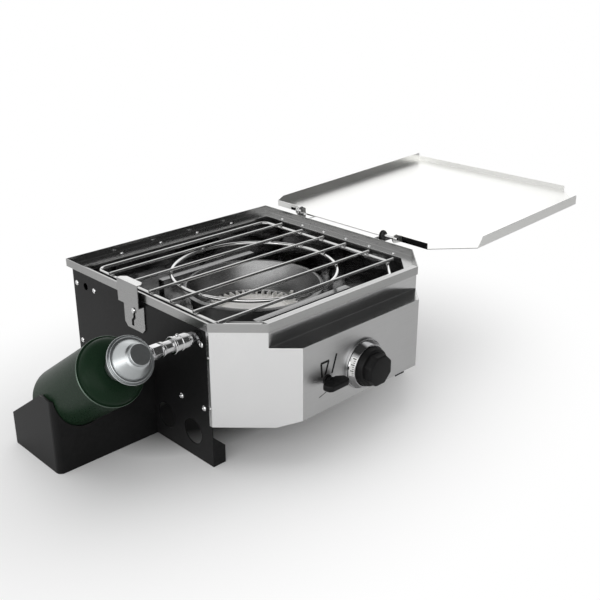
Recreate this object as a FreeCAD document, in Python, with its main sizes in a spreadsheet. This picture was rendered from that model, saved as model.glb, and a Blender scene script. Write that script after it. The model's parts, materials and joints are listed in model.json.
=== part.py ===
import FreeCAD, Part
import Sketcher
import math
import os
import re

Vector = FreeCAD.Vector
X_AXIS = Vector(1, 0, 0)
Y_AXIS = Vector(0, 1, 0)

doc = FreeCAD.newDocument("single_burner_stove")
sheet_table = doc.addObject("Spreadsheet::Sheet", "Sizes")

# Every driving size in millimetres or degrees. x runs to the right seen from the control front,
# y to the back, z up from the floor; plan positions are from the middle of the rim.
DRIVING = [
    # rim frame
    ("rim_width", 432), ("rim_depth", 418), ("rim_chamfer", 58), ("rim_height", 227), ("rim_band", 13),
    ("metal", 1.2), ("ledge_side", 19.6), ("ledge_back", 24.4), ("lip_drop", 9), ("front_return", 10),
    ("rivet_radius", 2.6), ("rivet_height", 1.8), ("rivet_inset", 11), ("rivet_first", 60),
    ("rivet_last", 30), ("rivet_end", 38.9),
    # side and rear panels
    ("panel_inset", 3.2), ("panel_metal", 1.5), ("panel_front", 61), ("panel_back", 12.4),
    ("panel_flange", 12), ("foot_width", 22.5), ("foot_height", 50), ("foot_tip", 28),
    ("vent_radius", 20), ("vent_height", 41.5), ("vent_first", 103), ("vent_second", 39),
    ("port_radius", 6), ("port_back", 48), ("port_height", 191), ("port_screw_pitch", 50),
    ("screw_front", 77), ("screw_low", 90), ("screw_mid", 52), ("screw_radius", 2),
    ("screw_head_radius", 4.2), ("screw_head_height", 2.4), ("screw_grip", 2.8), ("screw_play", 0.1),
    ("rear_bottom", 30), ("rear_flange", 13),
    # control front
    ("shell_inset", 2), ("box_forward", 31), ("step_drop", 36.5), ("front_bottom", 78),
    ("corner_bottom", 67), ("slope_run", 26), ("shell_flange", 4), ("front_rivet_radius", 1.6),
    ("front_rivet_height", 1), ("front_rivet_high", 174), ("front_rivet_low", 95.5),
    ("front_rivet_back", 1),
    # firebox liner
    ("liner_floor", 75), ("mixer_height", 94), ("mixer_hole", 14),
    # grate
    ("grate_rise", 213.8), ("bar_radius", 2.5), ("bar_inset", 30), ("bar_pitch", 53.2), ("wire_radius", 3),
    ("weld_gap", 0.02), ("grate_side", 35), ("grate_back", 34), ("grate_front", 37),
    ("grate_corner", 14), ("grate_cut", 46), ("ring_radius", 133), ("tab_length", 26), ("tab_reach", 20),
    ("tab_leg", 12), ("tab_offset", 92), ("seat_gap", 0.1),
    # burner
    ("burner_shift", -3), ("burner_back", -2), ("bowl_rim_radius", 114), ("bowl_top", 187),
    ("bowl_mouth", 108.6), ("bowl_foot", 94), ("bowl_floor", 130), ("bowl_hole", 66), ("bowl_metal", 1),
    ("rail_half", 99), ("rail_width", 13), ("rail_metal", 2), ("rail_gap", 1.2),
    ("base_flange", 78), ("base_metal", 3), ("base_mouth", 65), ("hub_radius", 14), ("hub_high", 114),
    ("crown_outer", 72), ("crown_inner", 61), ("crown_height", 4), ("fin_count", 40), ("fin_tip", 75.6),
    ("fin_root", 60), ("fin_thick", 3.4), ("fin_height", 11),
    ("tube_radius", 11), ("tube_wall", 1.2), ("elbow_radius", 12), ("bell_radius", 16), ("bell_rim", 6),
    ("bell_taper", 4), ("bell_front", 2.8), ("shutter_wall", 1.5), ("shutter_length", 5.5),
    ("shutter_tab", 4),
    ("run_play", 0.08),
    ("electrode_reach", 86), ("electrode_radius", 2.6), ("electrode_height", 17), ("tip_radius", 0.8),
    ("clip_width", 14), ("clip_length", 12), ("clip_metal", 1.5),
    # gas train behind the control front
    ("knob_height", 127), ("valve_width", 28), ("valve_depth", 25), ("valve_boss", 8),
    ("boss_radius", 9), ("boss_out", 1), ("valve_low", 80), ("valve_high", 143), ("orifice_radius", 4),
    ("orifice_length", 7), ("stem_radius", 4), ("stem_depth", 28), ("collar_radius", 6),
    ("collar_length", 4),
    ("push_travel", 3), ("push_play", 0.5), ("supply_radius", 4), ("supply_wall", 1), ("supply_bend", 10),
    ("supply_level", 104), ("supply_back", 22),
    # knob and bezel
    ("bezel_radius", 38.6), ("bezel_flange", 4.5), ("bezel_drum", 36.5), ("bezel_nose", 32.6),
    ("bezel_depth", 15), ("bezel_bore", 31), ("bezel_floor", 2.5), ("skirt_radius", 30),
    ("skirt_back", 13.5), ("skirt_front", 24), ("cap_radius", 25.3), ("knob_front", 37.3),
    ("cap_chamfer", 2), ("knob_floor", 5),
    # igniter
    ("igniter_left", 76.5), ("igniter_drop", 126), ("key_half", 22), ("key_depth", 27), ("key_thick", 10),
    ("key_neck", 11), ("key_tip", 15), ("key_foot", 5), ("key_wide", 13), ("key_round", 4), ("key_stem", 6),
    ("key_gap", 0.3), ("key_spindle", 3), ("spindle_depth", 8), ("piezo_radius", 10), ("piezo_length", 30),
    ("piezo_collar", 8), ("piezo_out", 2),
    # gas connection on the left side
    ("inlet_front", 81), ("inlet_drop", 25.7), ("inlet_hex", 9), ("inlet_length", 16), ("inlet_thread", 6),
    ("inlet_block", 11), ("inlet_half", 6), ("socket_radius", 8), ("socket_length", 32), ("socket_bore", 5),
    ("sleeve_radius", 11.5), ("sleeve_length", 27), ("sleeve_gap", 3.6), ("sleeve_ring", 12.6),
    ("sleeve_ring_length", 3), ("pip_radius", 2.4), ("pip_rise", 3), ("pip_place", 10), ("plug_radius", 9),
    ("plug_nose", 14), ("plug_body", 13), ("plug_ring", 10.5), ("plug_ring_length", 3), ("plug_neck", 8.2),
    ("plug_neck_length", 2), ("plug_hex", 10.4), ("plug_hex_length", 13), ("plug_gap", 0.3),
    ("outlet_out", 3),
    # cylinder and regulator, measured along the cylinder's own axis from the outlet
    ("cylinder_off", 116.2), ("cylinder_tilt", 34.5), ("cylinder_radius", 48.6), ("cylinder_wall", 1.5),
    ("shoulder_back", 50), ("neck_back", 28), ("neck_top", 18), ("cylinder_end", 226),
    ("neck_radius", 12.6),
    ("foot_ring", 36), ("foot_ring_wall", 3), ("foot_ring_depth", 6), ("cylinder_round", 12),
    ("valve_hole", 6),
    ("pin_valve_length", 18), ("body_radius", 23), ("body_front", 8.6), ("body_back", 14),
    ("union_back", 26.5),
    ("union_radius", 19),
    ("disc_radius", 33), ("disc_metal", 3), ("step_radius", 30), ("step_metal", 3), ("cone_foot", 25),
    ("cone_top", 14.5), ("cap_top", 39.6), ("cap_dish", 1.5), ("cap_dish_radius", 11),
    # cylinder holder
    ("holder_reach", 168.7), ("holder_front", 12.5), ("holder_back", 116), ("holder_wall", 3),
    ("holder_high", 115), ("holder_level", 20.6), ("holder_low", 49), ("cradle_play", 0.5),
    # latch
    ("latch_width", 52), ("latch_back", 25), ("latch_metal", 1.5), ("latch_stand", 9), ("latch_gap", 0.3),
    ("latch_bottom", 161), ("joggle_height", 204), ("flap_under", 12), ("flap_reach", 14),
    ("stud_radius", 2.5), ("stud_height", 192), ("stud_head", 4.5), ("stud_head_height", 2.2),
    ("slot_half", 2.8), ("slot_low", 166), ("slot_run", 12), ("slot_side", 5), ("latch_round", 7),
    # lid and hinge
    ("lid_side_lap", 2), ("lid_front_lap", 4), ("lid_cut_lap", 1.7), ("lid_cover", 11.5),
    ("lid_metal", 1.2),
    ("lid_end_flange", 17), ("lid_side_flange", 11), ("lid_tilt", 2.3), ("hinge_out", 20),
    ("hinge_rise", 1),
    ("hinge_front", 69), ("hinge_back", 133), ("ear_radius", 7.5), ("ear_metal", 2), ("bracket_metal", 3),
    ("bracket_radius", 8.5), ("bracket_low", 160), ("bracket_top", 204), ("pin_radius", 3),
    ("pin_reach", 27), ("pin_end", 4), ("pin_head_radius", 5), ("pin_head", 2), ("washer_radius", 7.5),
    ("washer_metal", 2), ("hinge_gap", 0.3), ("stop_reach", 24), ("stop_metal", 2), ("stop_width", 20),
    ("stop_gap", 0.2), ("lid_slant", 14), ("bracket_foot", 22), ("bracket_rise", 20),
]
ALIASES = {alias for alias, value in DRIVING}
for row, (alias, value) in enumerate(DRIVING, start=1):
    sheet_table.set(f"A{row}", alias)
    sheet_table.set(f"B{row}", str(value))
    sheet_table.setAlias(f"B{row}", alias)
doc.recompute()


def formula(text):
    return re.sub(r"[a-z_]{3,}", lambda m: "Sizes." + m.group() if m.group() in ALIASES else m.group(),
        text)


def number(text):
    return float(sheet_table.evalExpression(formula(text)))


# Derived lines shared by several pieces.
HINGE_X = "(rim_width / 2 + hinge_out)"
HINGE_Z = "(rim_height + hinge_rise)"
PANEL_FACE = "(rim_width / 2 - panel_inset)"
FRONT_FACE = "(rim_depth / 2 + box_forward)"
LEDGE_LOW = "(rim_height - rim_band)"
STEP_TOP = "(rim_height - step_drop)"
INLET_Y = "(-rim_depth / 2 + inlet_front)"
INLET_Z = "(rim_height - inlet_drop)"
LID_RUN = f"(rim_width / 2 + {HINGE_X})"
LID_TOP = "(lid_cover - hinge_rise)"
LID_WIDTH = "(rim_width + lid_side_lap * 2)"
LID_HALF = "(rim_depth / 2 + lid_front_lap)"
LID_CUT = "(rim_chamfer + lid_cut_lap)"
CYLINDER_OUT = f"({PANEL_FACE} + cylinder_off)"
HOLDER_OUT = f"({PANEL_FACE} + holder_reach)"
KNOB_Y = f"(-{FRONT_FACE})"

# The frame stands on the floor under the middle of the whole object as it rests.
REACH_RIGHT = f"({HINGE_X} + {LID_RUN} * cos(lid_tilt) + {LID_TOP} * sin(lid_tilt))"
REACH_FRONT = f"({FRONT_FACE} + knob_front)"
FRAME_X = f"(({HOLDER_OUT} - {REACH_RIGHT}) / 2)"
FRAME_Y = f"(({REACH_FRONT} - {LID_HALF}) / 2)"

made = []


def place(piece, x="0", y="0", z="0", axis=None, angle="0"):
    if axis is not None:
        piece.Placement = FreeCAD.Placement(Vector(0, 0, 0), FreeCAD.Rotation(axis, number(angle)))
        piece.setExpression("Placement.Rotation.Angle", formula(angle))
    for letter, text in (("x", f"{FRAME_X} + ({x})"), ("y", f"{FRAME_Y} + ({y})"), ("z", z)):
        piece.setExpression("Placement.Base." + letter, formula(text))
    return piece


def new_body(name, handed_on=True):
    body = doc.addObject("PartDesign::Body", name)
    body.Label = name
    if handed_on:
        made.append(body)
    return body


def new_part(kind, name):
    piece = doc.addObject(kind, name)
    piece.Label = name
    made.append(piece)
    return piece


def origin_plane(body, role):
    return next(f for f in body.Origin.OriginFeatures if f.Role == role)


def bind_point(sketch, geometry, which, point):
    for kind, text in (("DistanceX", point[0]), ("DistanceY", point[1])):
        rule = Sketcher.Constraint(kind, -1, 1, geometry, which, number(text))
        index = sketch.addConstraint(rule)
        sketch.setExpression(f"Constraints[{index}]", formula(text))


def add_loop(sketch, points):
    places = [Vector(number(a), number(b), 0) for a, b in points]
    lines = []
    for here, there in zip(places, places[1:] + places[:1]):
        lines.append(sketch.addGeometry(Part.LineSegment(here, there), False))
    for index, line in enumerate(lines):
        sketch.addConstraint(Sketcher.Constraint("Coincident", line, 2, lines[(index + 1) % len(lines)], 1))
    for line, point in zip(lines, points):
        bind_point(sketch, line, 1, point)


def add_circle(sketch, centre, radius):
    middle = Vector(number(centre[0]), number(centre[1]), 0)
    circle = sketch.addGeometry(Part.Circle(middle, Vector(0, 0, 1), number(radius)), False)
    bind_point(sketch, circle, 3, centre)
    index = sketch.addConstraint(Sketcher.Constraint("Radius", circle, number(radius)))
    sketch.setExpression(f"Constraints[{index}]", formula(radius))


def add_sketch(body, role, start, loops, circles):
    sketch = body.newObject("Sketcher::SketchObject", body.Name + "_sketch")
    sketch.AttachmentSupport = [(origin_plane(body, role), "")]
    sketch.MapMode = "FlatFace"
    sketch.setExpression("AttachmentOffset.Base.z", formula(start))
    for loop in loops:
        add_loop(sketch, loop)
    for centre, radius in circles:
        add_circle(sketch, centre, radius)
    return sketch


# Pads run along the plane's normal: +z on XY, +x on YZ and -y on XZ.
def pad(body, role, start, length, loops=(), circles=()):
    feature = body.newObject("PartDesign::Pad", body.Name + "_pad")
    feature.Profile = add_sketch(body, role, start, loops, circles)
    feature.setExpression("Length", formula(length))
    return feature


# Pockets run against the plane's normal.
def pocket(body, role, start, length, loops=(), circles=()):
    feature = body.newObject("PartDesign::Pocket", body.Name + "_pocket")
    feature.Profile = add_sketch(body, role, start, loops, circles)
    feature.setExpression("Length", formula(length))
    return feature


def turned(name, profile, handed_on=True):
    body = new_body(name, handed_on)
    feature = body.newObject("PartDesign::Revolution", name + "_turn")
    sketch = add_sketch(body, "XZ_Plane", "0", [profile], ())
    feature.Profile = sketch
    feature.ReferenceAxis = (sketch, ["V_Axis"])
    feature.Angle = 360
    return body


def box(x_low, x_high, y_low, y_high):
    return [(x_low, y_low), (x_high, y_low), (x_high, y_high), (x_low, y_high)]


def mirrored(points):
    return points + [(f"-({a})", b) for a, b in reversed(points)]


# Rim outline moved inward by one distance, with its own distance at the back.
def rim_loop(inset, back):
    side = f"(rim_width / 2 - ({inset}))"
    side_y = f"(-rim_depth / 2 + rim_chamfer + ({inset}) * (sqrt(2) - 1))"
    front_x = f"(rim_width / 2 - rim_chamfer - ({inset}) * (sqrt(2) - 1))"
    front_y = f"(-rim_depth / 2 + ({inset}))"
    back_y = f"(rim_depth / 2 - ({back}))"
    return mirrored([(side, back_y), (side, side_y), (front_x, front_y)])


# One node of identical pieces: each spot is x, y, z and a turn about the given axis.
def group(name, source, axis, spots):
    doc.recompute()
    copies = []
    for x, y, z, angle in spots:
        copy = source.Shape.copy()
        copy.Placement = FreeCAD.Placement(Vector(number(x), number(y), number(z)),
            FreeCAD.Rotation(axis, angle))
        copies.append(copy)
    piece = new_part("Part::Feature", name)
    piece.Shape = Part.makeCompound(copies)
    return place(piece)


def polygon_loop(radius, sides):
    step = 360 / sides
    return [(f"({radius}) * cos({step} * {k + 0.5})",
        f"({radius}) * sin({step} * {k + 0.5})") for k in range(sides)]


def rounded_path(points, bend, closed):
    count = len(points)
    corners = {}
    for index in (range(count) if closed else range(1, count - 1)):
        here = points[index]
        back = (points[index - 1] - here).normalize()
        ahead = (points[(index + 1) % count] - here).normalize()
        half = back.getAngle(ahead) / 2
        run = bend / math.tan(half)
        crest = here + (back + ahead).normalize() * (bend / math.sin(half) - bend)
        corners[index] = (here + back * run, crest, here + ahead * run)
    edges = []
    for index in range(count if closed else count - 1):
        after = (index + 1) % count
        start = corners[index][2] if index in corners else points[index]
        end = corners[after][0] if after in corners else points[after]
        edges.append(Part.LineSegment(start, end).toShape())
        if after in corners:
            edges.append(Part.Arc(*corners[after]).toShape())
    return Part.Wire(edges)


def swept(path, radius):
    first = path.Edges[0]
    start = first.valueAt(first.FirstParameter)
    ring = Part.Circle(start, first.tangentAt(first.FirstParameter), radius)
    return path.makePipeShell([Part.Wire(ring.toShape())], True, False)


# Rim frame: upstand, ledge, turned-down lip and the front edge's return.
rim = new_body("rim_frame")
pad(rim, "XY_Plane", LEDGE_LOW, "rim_band", [rim_loop("0", "0"), rim_loop("metal", "metal")])
pad(rim, "XY_Plane", LEDGE_LOW, "metal", [rim_loop("0", "0"), rim_loop("ledge_side", "ledge_back")])
pad(rim, "XY_Plane", f"{LEDGE_LOW} + metal - lip_drop", "lip_drop",
    [rim_loop("ledge_side - metal", "ledge_back - metal"), rim_loop("ledge_side", "ledge_back")])
RETURN_X = "(rim_width / 2 - rim_chamfer)"
pad(rim, "XY_Plane", "rim_height - metal", "metal",
    [box(f"-{RETURN_X}", RETURN_X, "-rim_depth / 2", "-rim_depth / 2 + front_return")])
place(rim)

# Side panels: wall with vents, port and screw holes, top flange and front foot.
PANEL_Y = ("(-rim_depth / 2 + panel_front)", "(rim_depth / 2 - panel_back)")
SCREW_SPOTS = [
    ("-rim_depth / 2 + screw_front", "port_height - screw_head_height"),
    ("-rim_depth / 2 + screw_front", "screw_low"),
    ("-rim_depth / 2 + screw_front + screw_mid", "screw_low"),
    ("rim_depth / 2 - port_back + port_screw_pitch / 2", "port_height"),
    ("rim_depth / 2 - port_back - port_screw_pitch / 2", "port_height"),
    ("rim_depth / 2 - port_back + port_screw_pitch / 2", "screw_low"),
]
RIGHT_SPOTS = [spot for index, spot in enumerate(SCREW_SPOTS) if index != 4]


def side_panel(name, sign):
    body = new_body(name)
    wall_start = f"-{PANEL_FACE}" if sign < 0 else f"{PANEL_FACE} - panel_metal"
    circles = [(spot, "screw_radius + screw_play") for spot in (SCREW_SPOTS if sign < 0 else RIGHT_SPOTS)]
    circles += [((f"-({out})", "vent_height"), "vent_radius") for out in ("vent_first", "vent_second")]
    if sign < 0:
        circles.append((("rim_depth / 2 - port_back", "port_height"), "port_radius"))
        circles.append(((INLET_Y, INLET_Z), "inlet_thread + screw_play"))
        circles.append((("latch_back", "stud_height"), "stud_radius + screw_play"))
    wall = box(PANEL_Y[0], PANEL_Y[1], "0", LEDGE_LOW)
    pad(body, "YZ_Plane", wall_start, "panel_metal", [wall], circles)
    inner = f"({sign}) * ({PANEL_FACE} - panel_flange)"
    outer = f"({sign}) * {PANEL_FACE}"
    flange = box(inner, outer, PANEL_Y[0], f"{PANEL_Y[1]} - metal")
    pad(body, "XY_Plane", f"{LEDGE_LOW} - panel_metal", "panel_metal", [flange])
    tip = f"({sign}) * ({PANEL_FACE} - foot_width)"
    foot = [(outer, "0"), (tip, "0"), (tip, "foot_tip"), (outer, "foot_height")]
    pad(body, "XZ_Plane", f"-({PANEL_Y[0]}) - panel_metal", "panel_metal", [foot])
    return place(body)


side_panel("left_side_panel", -1)
side_panel("right_side_panel", 1)

# Rear panel between the side panels, with side flanges and an outward top flange.
REAR_X = f"({PANEL_FACE} - panel_metal)"
REAR_Y = "(rim_depth / 2 - panel_back)"
rear = new_body("rear_panel")
pad(rear, "XZ_Plane", f"-{REAR_Y}", "metal", [box(f"-{REAR_X}", REAR_X, "rear_bottom", LEDGE_LOW)])
for edge in (f"-{REAR_X}", f"{REAR_X} - metal"):
    flange_low = f"{REAR_Y} - rear_flange"
    pad(rear, "YZ_Plane", edge, "metal", [box(flange_low, REAR_Y, "rear_bottom",
        f"{LEDGE_LOW} - panel_metal")])
pad(rear, "XY_Plane", f"{LEDGE_LOW} - metal", "metal",
    [box(f"-{REAR_X} + panel_flange", f"{REAR_X} - panel_flange", f"{REAR_Y} - metal",
    "rim_depth / 2 - shell_inset")])
for start in (f"{REAR_X} + metal / 2", f"-{REAR_X} + metal * 1.5"):
    pocket(rear, "YZ_Plane", start, "metal * 2",
           circles=[(SCREW_SPOTS[index], "screw_radius + screw_play") for index in (3, 5)])
place(rear)

# Front shell: side flanges, slanted corners, control face and the step under the rim.
CORNER = "(rim_width / 2 + rim_depth / 2 - rim_chamfer - shell_inset * sqrt(2))"


def shell_points(front, inward):
    corner = f"({CORNER} - ({inward}) * sqrt(2))"
    side = f"({PANEL_FACE} + metal - ({inward}))"
    face = f"({front} - ({inward}))"
    end_y = f"({PANEL_Y[0]} + shell_flange)"
    return [(side, end_y), (side, f"-({corner} - {side})"), (f"({corner} - {face})", f"-{face}")]


def shell_ring(front):
    outside = shell_points(front, "0")
    inside = shell_points(front, "metal")
    loop = outside + [(f"-({a})", b) for a, b in reversed(outside)]
    return loop + [(f"-({a})", b) for a, b in inside] + list(reversed(inside))


UPPER_FACE = "(rim_depth / 2 - shell_inset)"
shell = new_body("front_shell")
pad(shell, "XY_Plane", "corner_bottom", f"{STEP_TOP} - corner_bottom", [shell_ring(FRONT_FACE)])
pad(shell, "XY_Plane", STEP_TOP, f"{LEDGE_LOW} - {STEP_TOP}", [shell_ring(UPPER_FACE)])
FACE_X = f"({CORNER} - {FRONT_FACE})"
UPPER_X = f"({CORNER} - {UPPER_FACE})"
STEP_INNER = f"({UPPER_FACE} - metal)"
pad(shell, "XY_Plane", f"{STEP_TOP} - metal", "metal",
    [mirrored([(f"{CORNER} - metal / 2 - {STEP_INNER}", f"-{STEP_INNER}"),
               (f"{FACE_X} - metal / 2", f"-{FRONT_FACE} + metal / 2")])])
SLOPE_X = f"({FACE_X} + slope_run)"
pocket(shell, "XZ_Plane", f"{FRONT_FACE} + metal", "slope_run + metal * 3",
       [mirrored([(SLOPE_X, "corner_bottom - metal"), (SLOPE_X, "corner_bottom"),
       (FACE_X, "front_bottom")])])
CONTROL_HOLES = [
    (("burner_shift", "knob_height"), "boss_radius + run_play"),
    (("-igniter_left", "igniter_drop"), "piezo_collar + run_play"),
]
pocket(shell, "XZ_Plane", f"{FRONT_FACE} + metal", "metal * 3", circles=CONTROL_HOLES)
place(shell)

# Firebox liner hanging under the ledge, with a floor and the mixing tube's hole.
LINER_OUT = ("ledge_side - metal * 2", "ledge_back - metal * 2")
LINER_IN = ("ledge_side - metal", "ledge_back - metal")
liner = new_body("firebox_liner")
pad(liner, "XY_Plane", "liner_floor", f"{LEDGE_LOW} - liner_floor",
    [rim_loop(*LINER_OUT), rim_loop(*LINER_IN)])
pad(liner, "XY_Plane", "liner_floor", "metal", [rim_loop(*LINER_OUT)])
LINER_FRONT = "(rim_depth / 2 - ledge_side + metal * 2)"
pocket(liner, "XZ_Plane", f"{LINER_FRONT} + metal", "metal * 3",
       circles=[(("burner_shift", "mixer_height"), "mixer_hole")])
place(liner)

# Rivets on the ledge and on the shell's side flanges, screws on the side panels.
def dome_profile(radius, height):
    return [("0", "0"), (radius, "0"), (radius, f"{height} * 0.35"),
        (f"{radius} * 0.6", f"{height} * 0.85"),
            (f"{radius} * 0.25", height), ("0", height)]


rivet = turned("ledge_rivet", dome_profile("rivet_radius", "rivet_height"), False)
LEDGE_TOP = f"{LEDGE_LOW} + metal"
RIVET_X = "(rim_width / 2 - metal - rivet_inset)"
RIVET_Y = "(rim_depth / 2 - metal - rivet_inset)"
SIDE_RIVETS = 6
SIDE_STEP = f"((rim_depth - rim_chamfer - rivet_first - rivet_last) / {SIDE_RIVETS - 1})"
BACK_STEPS = (-1.5, -0.5, 0.5, 1.5)
BACK_STEP = f"((rim_width / 2 - rim_chamfer - rivet_end) / {BACK_STEPS[-1]})"
ledge_spots = []
for step in range(SIDE_RIVETS):
    along = f"rim_depth / 2 - rivet_first - {SIDE_STEP} * {step}"
    ledge_spots += [(RIVET_X, along, LEDGE_TOP, 0), (f"-{RIVET_X}", along, LEDGE_TOP, 0)]
for step in BACK_STEPS:
    along = f"{BACK_STEP} * ({step})"
    ledge_spots += [(along, RIVET_Y, LEDGE_TOP, 0), (along, f"-{RIVET_Y}", LEDGE_TOP, 0)]
group("rim_rivets", rivet, X_AXIS, ledge_spots)

small_rivet = turned("flange_rivet", dome_profile("front_rivet_radius", "front_rivet_height"), False)
flange_spots = []
for height in ("front_rivet_high", "front_rivet_low"):
    along = f"{PANEL_Y[0]} + front_rivet_back"
    flange_spots += [(f"{PANEL_FACE} + metal", along, height, 90),
        (f"-{PANEL_FACE} - metal", along, height, -90)]
group("front_flange_rivets", small_rivet, Y_AXIS, flange_spots)

screw = turned("panel_screw", [("0", "-screw_grip"), ("screw_radius", "-screw_grip"), ("screw_radius", "0")]
               + dome_profile("screw_head_radius", "screw_head_height")[1:], False)
group("left_panel_screws", screw, Y_AXIS, [(f"-{PANEL_FACE}", y, z, -90) for y, z in SCREW_SPOTS])
group("right_panel_screws", screw, Y_AXIS, [(PANEL_FACE, y, z, 90) for y, z in RIGHT_SPOTS])

# Grate: six bars welded on a frame wire and a ring wire, seated on four tabs.
WIRE_Z = "(grate_rise - bar_radius - wire_radius - weld_gap)"
GRATE_X = "(rim_width / 2 - grate_side)"
GRATE_BACK = "(rim_depth / 2 - grate_back)"
GRATE_FRONT = "(-rim_depth / 2 + grate_front)"
grate_corners = [(GRATE_X, GRATE_BACK), (GRATE_X, f"{GRATE_FRONT} + grate_cut"),
                 (f"{GRATE_X} - grate_cut", GRATE_FRONT)]
wire_points = [Vector(number(a), number(b), number(WIRE_Z)) for a, b in mirrored(grate_corners)]
frame_wire = new_part("Part::Feature", "grate_frame")
frame_wire.Shape = swept(rounded_path(wire_points, number("grate_corner"), True), number("wire_radius"))
place(frame_wire)
ring_wire = new_part("Part::Torus", "grate_ring")
ring_wire.setExpression("Radius1", formula("ring_radius"))
ring_wire.setExpression("Radius2", formula("wire_radius"))
place(ring_wire, "0", "burner_back", WIRE_Z)
bar = new_body("grate_bar", False)
BAR_HALF = "(rim_width / 2 - bar_inset)"
pad(bar, "YZ_Plane", f"-{BAR_HALF}", f"{BAR_HALF} * 2", circles=[(("0", "0"), "bar_radius")])
BAR_STEPS = (-2.5, -1.5, -0.5, 0.5, 1.5, 2.5)
group("grate_bars", bar, X_AXIS,
      [("0", f"burner_back + bar_pitch * ({step})", "grate_rise", 0) for step in BAR_STEPS])

tab = new_body("grate_tab", False)
pad(tab, "XY_Plane", "-clip_metal", "clip_metal",
    [box("-tab_reach", "0", "-tab_length / 2", "tab_length / 2")])
pad(tab, "XY_Plane", "-tab_leg", "tab_leg", [box("-clip_metal", "0", "-tab_length / 2", "tab_length / 2")])
TAB_X = "(rim_width / 2 - ledge_side + metal)"
TAB_Z = f"{WIRE_Z} - wire_radius - seat_gap"
group("grate_tabs", tab, Vector(0, 0, 1),
      [(TAB_X, "tab_offset", TAB_Z, 0), (TAB_X, "-tab_offset", TAB_Z, 0),
       (f"-{TAB_X}", "tab_offset", TAB_Z, 180), (f"-{TAB_X}", "-tab_offset", TAB_Z, 180)])

# Burner: bowl on two rails, base through its floor, finned crown, mixing tube and electrode.
FLOOR_TOP = "(bowl_floor + bowl_metal)"
bowl = turned("burner_bowl", [
    ("bowl_hole", "bowl_floor"), ("bowl_foot", "bowl_floor"), ("bowl_mouth", "bowl_top - bowl_metal"),
    ("bowl_rim_radius", "bowl_top - bowl_metal"), ("bowl_rim_radius", "bowl_top"),
    ("bowl_mouth - bowl_metal", "bowl_top"), ("bowl_foot - bowl_metal", FLOOR_TOP),
    ("bowl_hole", FLOOR_TOP)])
place(bowl, "burner_shift", "burner_back")

RAIL_TOP = "(bowl_top - bowl_metal)"
RAIL_IN = "(bowl_mouth + rail_gap)"
LINER_TOP = "(liner_floor + metal)"
for name, low in (("rear_rail", RAIL_IN), ("front_rail", f"-{RAIL_IN} - rail_width")):
    rail = new_body(name)
    bridge = [("-rail_half", LINER_TOP), ("-rail_half", RAIL_TOP), ("rail_half", RAIL_TOP),
        ("rail_half", LINER_TOP),
              ("rail_half - rail_metal", LINER_TOP), ("rail_half - rail_metal", f"{RAIL_TOP} - rail_metal"),
              ("-rail_half + rail_metal", f"{RAIL_TOP} - rail_metal"),
              ("-rail_half + rail_metal", LINER_TOP)]
    pad(rail, "XZ_Plane", f"-({low}) - rail_width", "rail_width", [bridge])
    place(rail, "burner_shift", "burner_back")

BASE_TOP = f"({FLOOR_TOP} + base_metal)"
HUB_BORE = "(tube_radius + run_play)"
HUB_LOW = "(mixer_height + elbow_radius)"
base = turned("burner_base", [
    ("base_flange", BASE_TOP), ("base_flange", FLOOR_TOP), ("base_mouth", FLOOR_TOP),
        ("hub_radius", "hub_high"),
    ("hub_radius", HUB_LOW), (HUB_BORE, HUB_LOW), (HUB_BORE, "hub_high + base_metal"),
    ("base_mouth - base_metal * 2", BASE_TOP)])
place(base, "burner_shift", "burner_back")

crown = new_body("burner_crown")
pad(crown, "XY_Plane", BASE_TOP, "crown_height", circles=[(("0", "0"), "crown_outer"), (("0", "0"),
    "crown_inner")])
fin = pad(crown, "XY_Plane", BASE_TOP, "fin_height",
    [box("fin_root", "fin_tip", "-fin_thick / 2", "fin_thick / 2")])
fins = crown.newObject("PartDesign::PolarPattern", "crown_fins")
fins.Originals = [fin]
fins.Axis = (origin_plane(crown, "Z_Axis"), [""])
fins.Angle = 360
fins.setExpression("Occurrences", formula("fin_count"))
crown.Tip = fins
place(crown, "burner_shift", "burner_back")

VALVE_BACK = f"({FRONT_FACE} - metal - valve_boss - valve_depth)"
BELL_Y = f"(-{VALVE_BACK} + bell_front)"
BELL_END = f"({BELL_Y} + bell_rim + bell_taper)"
tube_points = [Vector(0, number(BELL_END), number("mixer_height")),
               Vector(0, number("burner_back"), number("mixer_height")),
               Vector(0, number("burner_back"), number("hub_high + base_metal / 2"))]
tube_path = rounded_path(tube_points, number("elbow_radius"), False)


def mixing_solid(inward):
    wide = number("bell_radius") - inward
    narrow = number("tube_radius") - inward
    mouth = Vector(0, number(BELL_Y), number("mixer_height"))
    rim_part = Part.makeCylinder(wide, number("bell_rim"), mouth, Y_AXIS)
    taper_at = mouth + Y_AXIS * number("bell_rim")
    taper = Part.makeCone(wide, narrow, number("bell_taper"), taper_at, Y_AXIS)
    return swept(tube_path, narrow).fuse([rim_part, taper])


mixing_tube = new_part("Part::Feature", "mixing_tube")
mixing_tube.Shape = mixing_solid(0).cut(mixing_solid(number("tube_wall"))).removeSplitter()
place(mixing_tube, "burner_shift")

SHUTTER_BORE = "(bell_radius + run_play)"
SHUTTER_OUT = "(bell_radius + shutter_wall)"
shutter = new_body("air_shutter")
pad(shutter, "XY_Plane", "0", "shutter_length", circles=[(("0", "0"), SHUTTER_OUT), (("0", "0"),
    SHUTTER_BORE)])
pad(shutter, "XY_Plane", "0", "shutter_wall",
    [box(f"{SHUTTER_OUT} - shutter_wall / 2", f"{SHUTTER_OUT} + shutter_tab", "-shutter_tab / 2",
    "shutter_tab / 2")])
place(shutter, "burner_shift", f"{BELL_Y} + shutter_length", "mixer_height", X_AXIS, "90")

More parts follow.
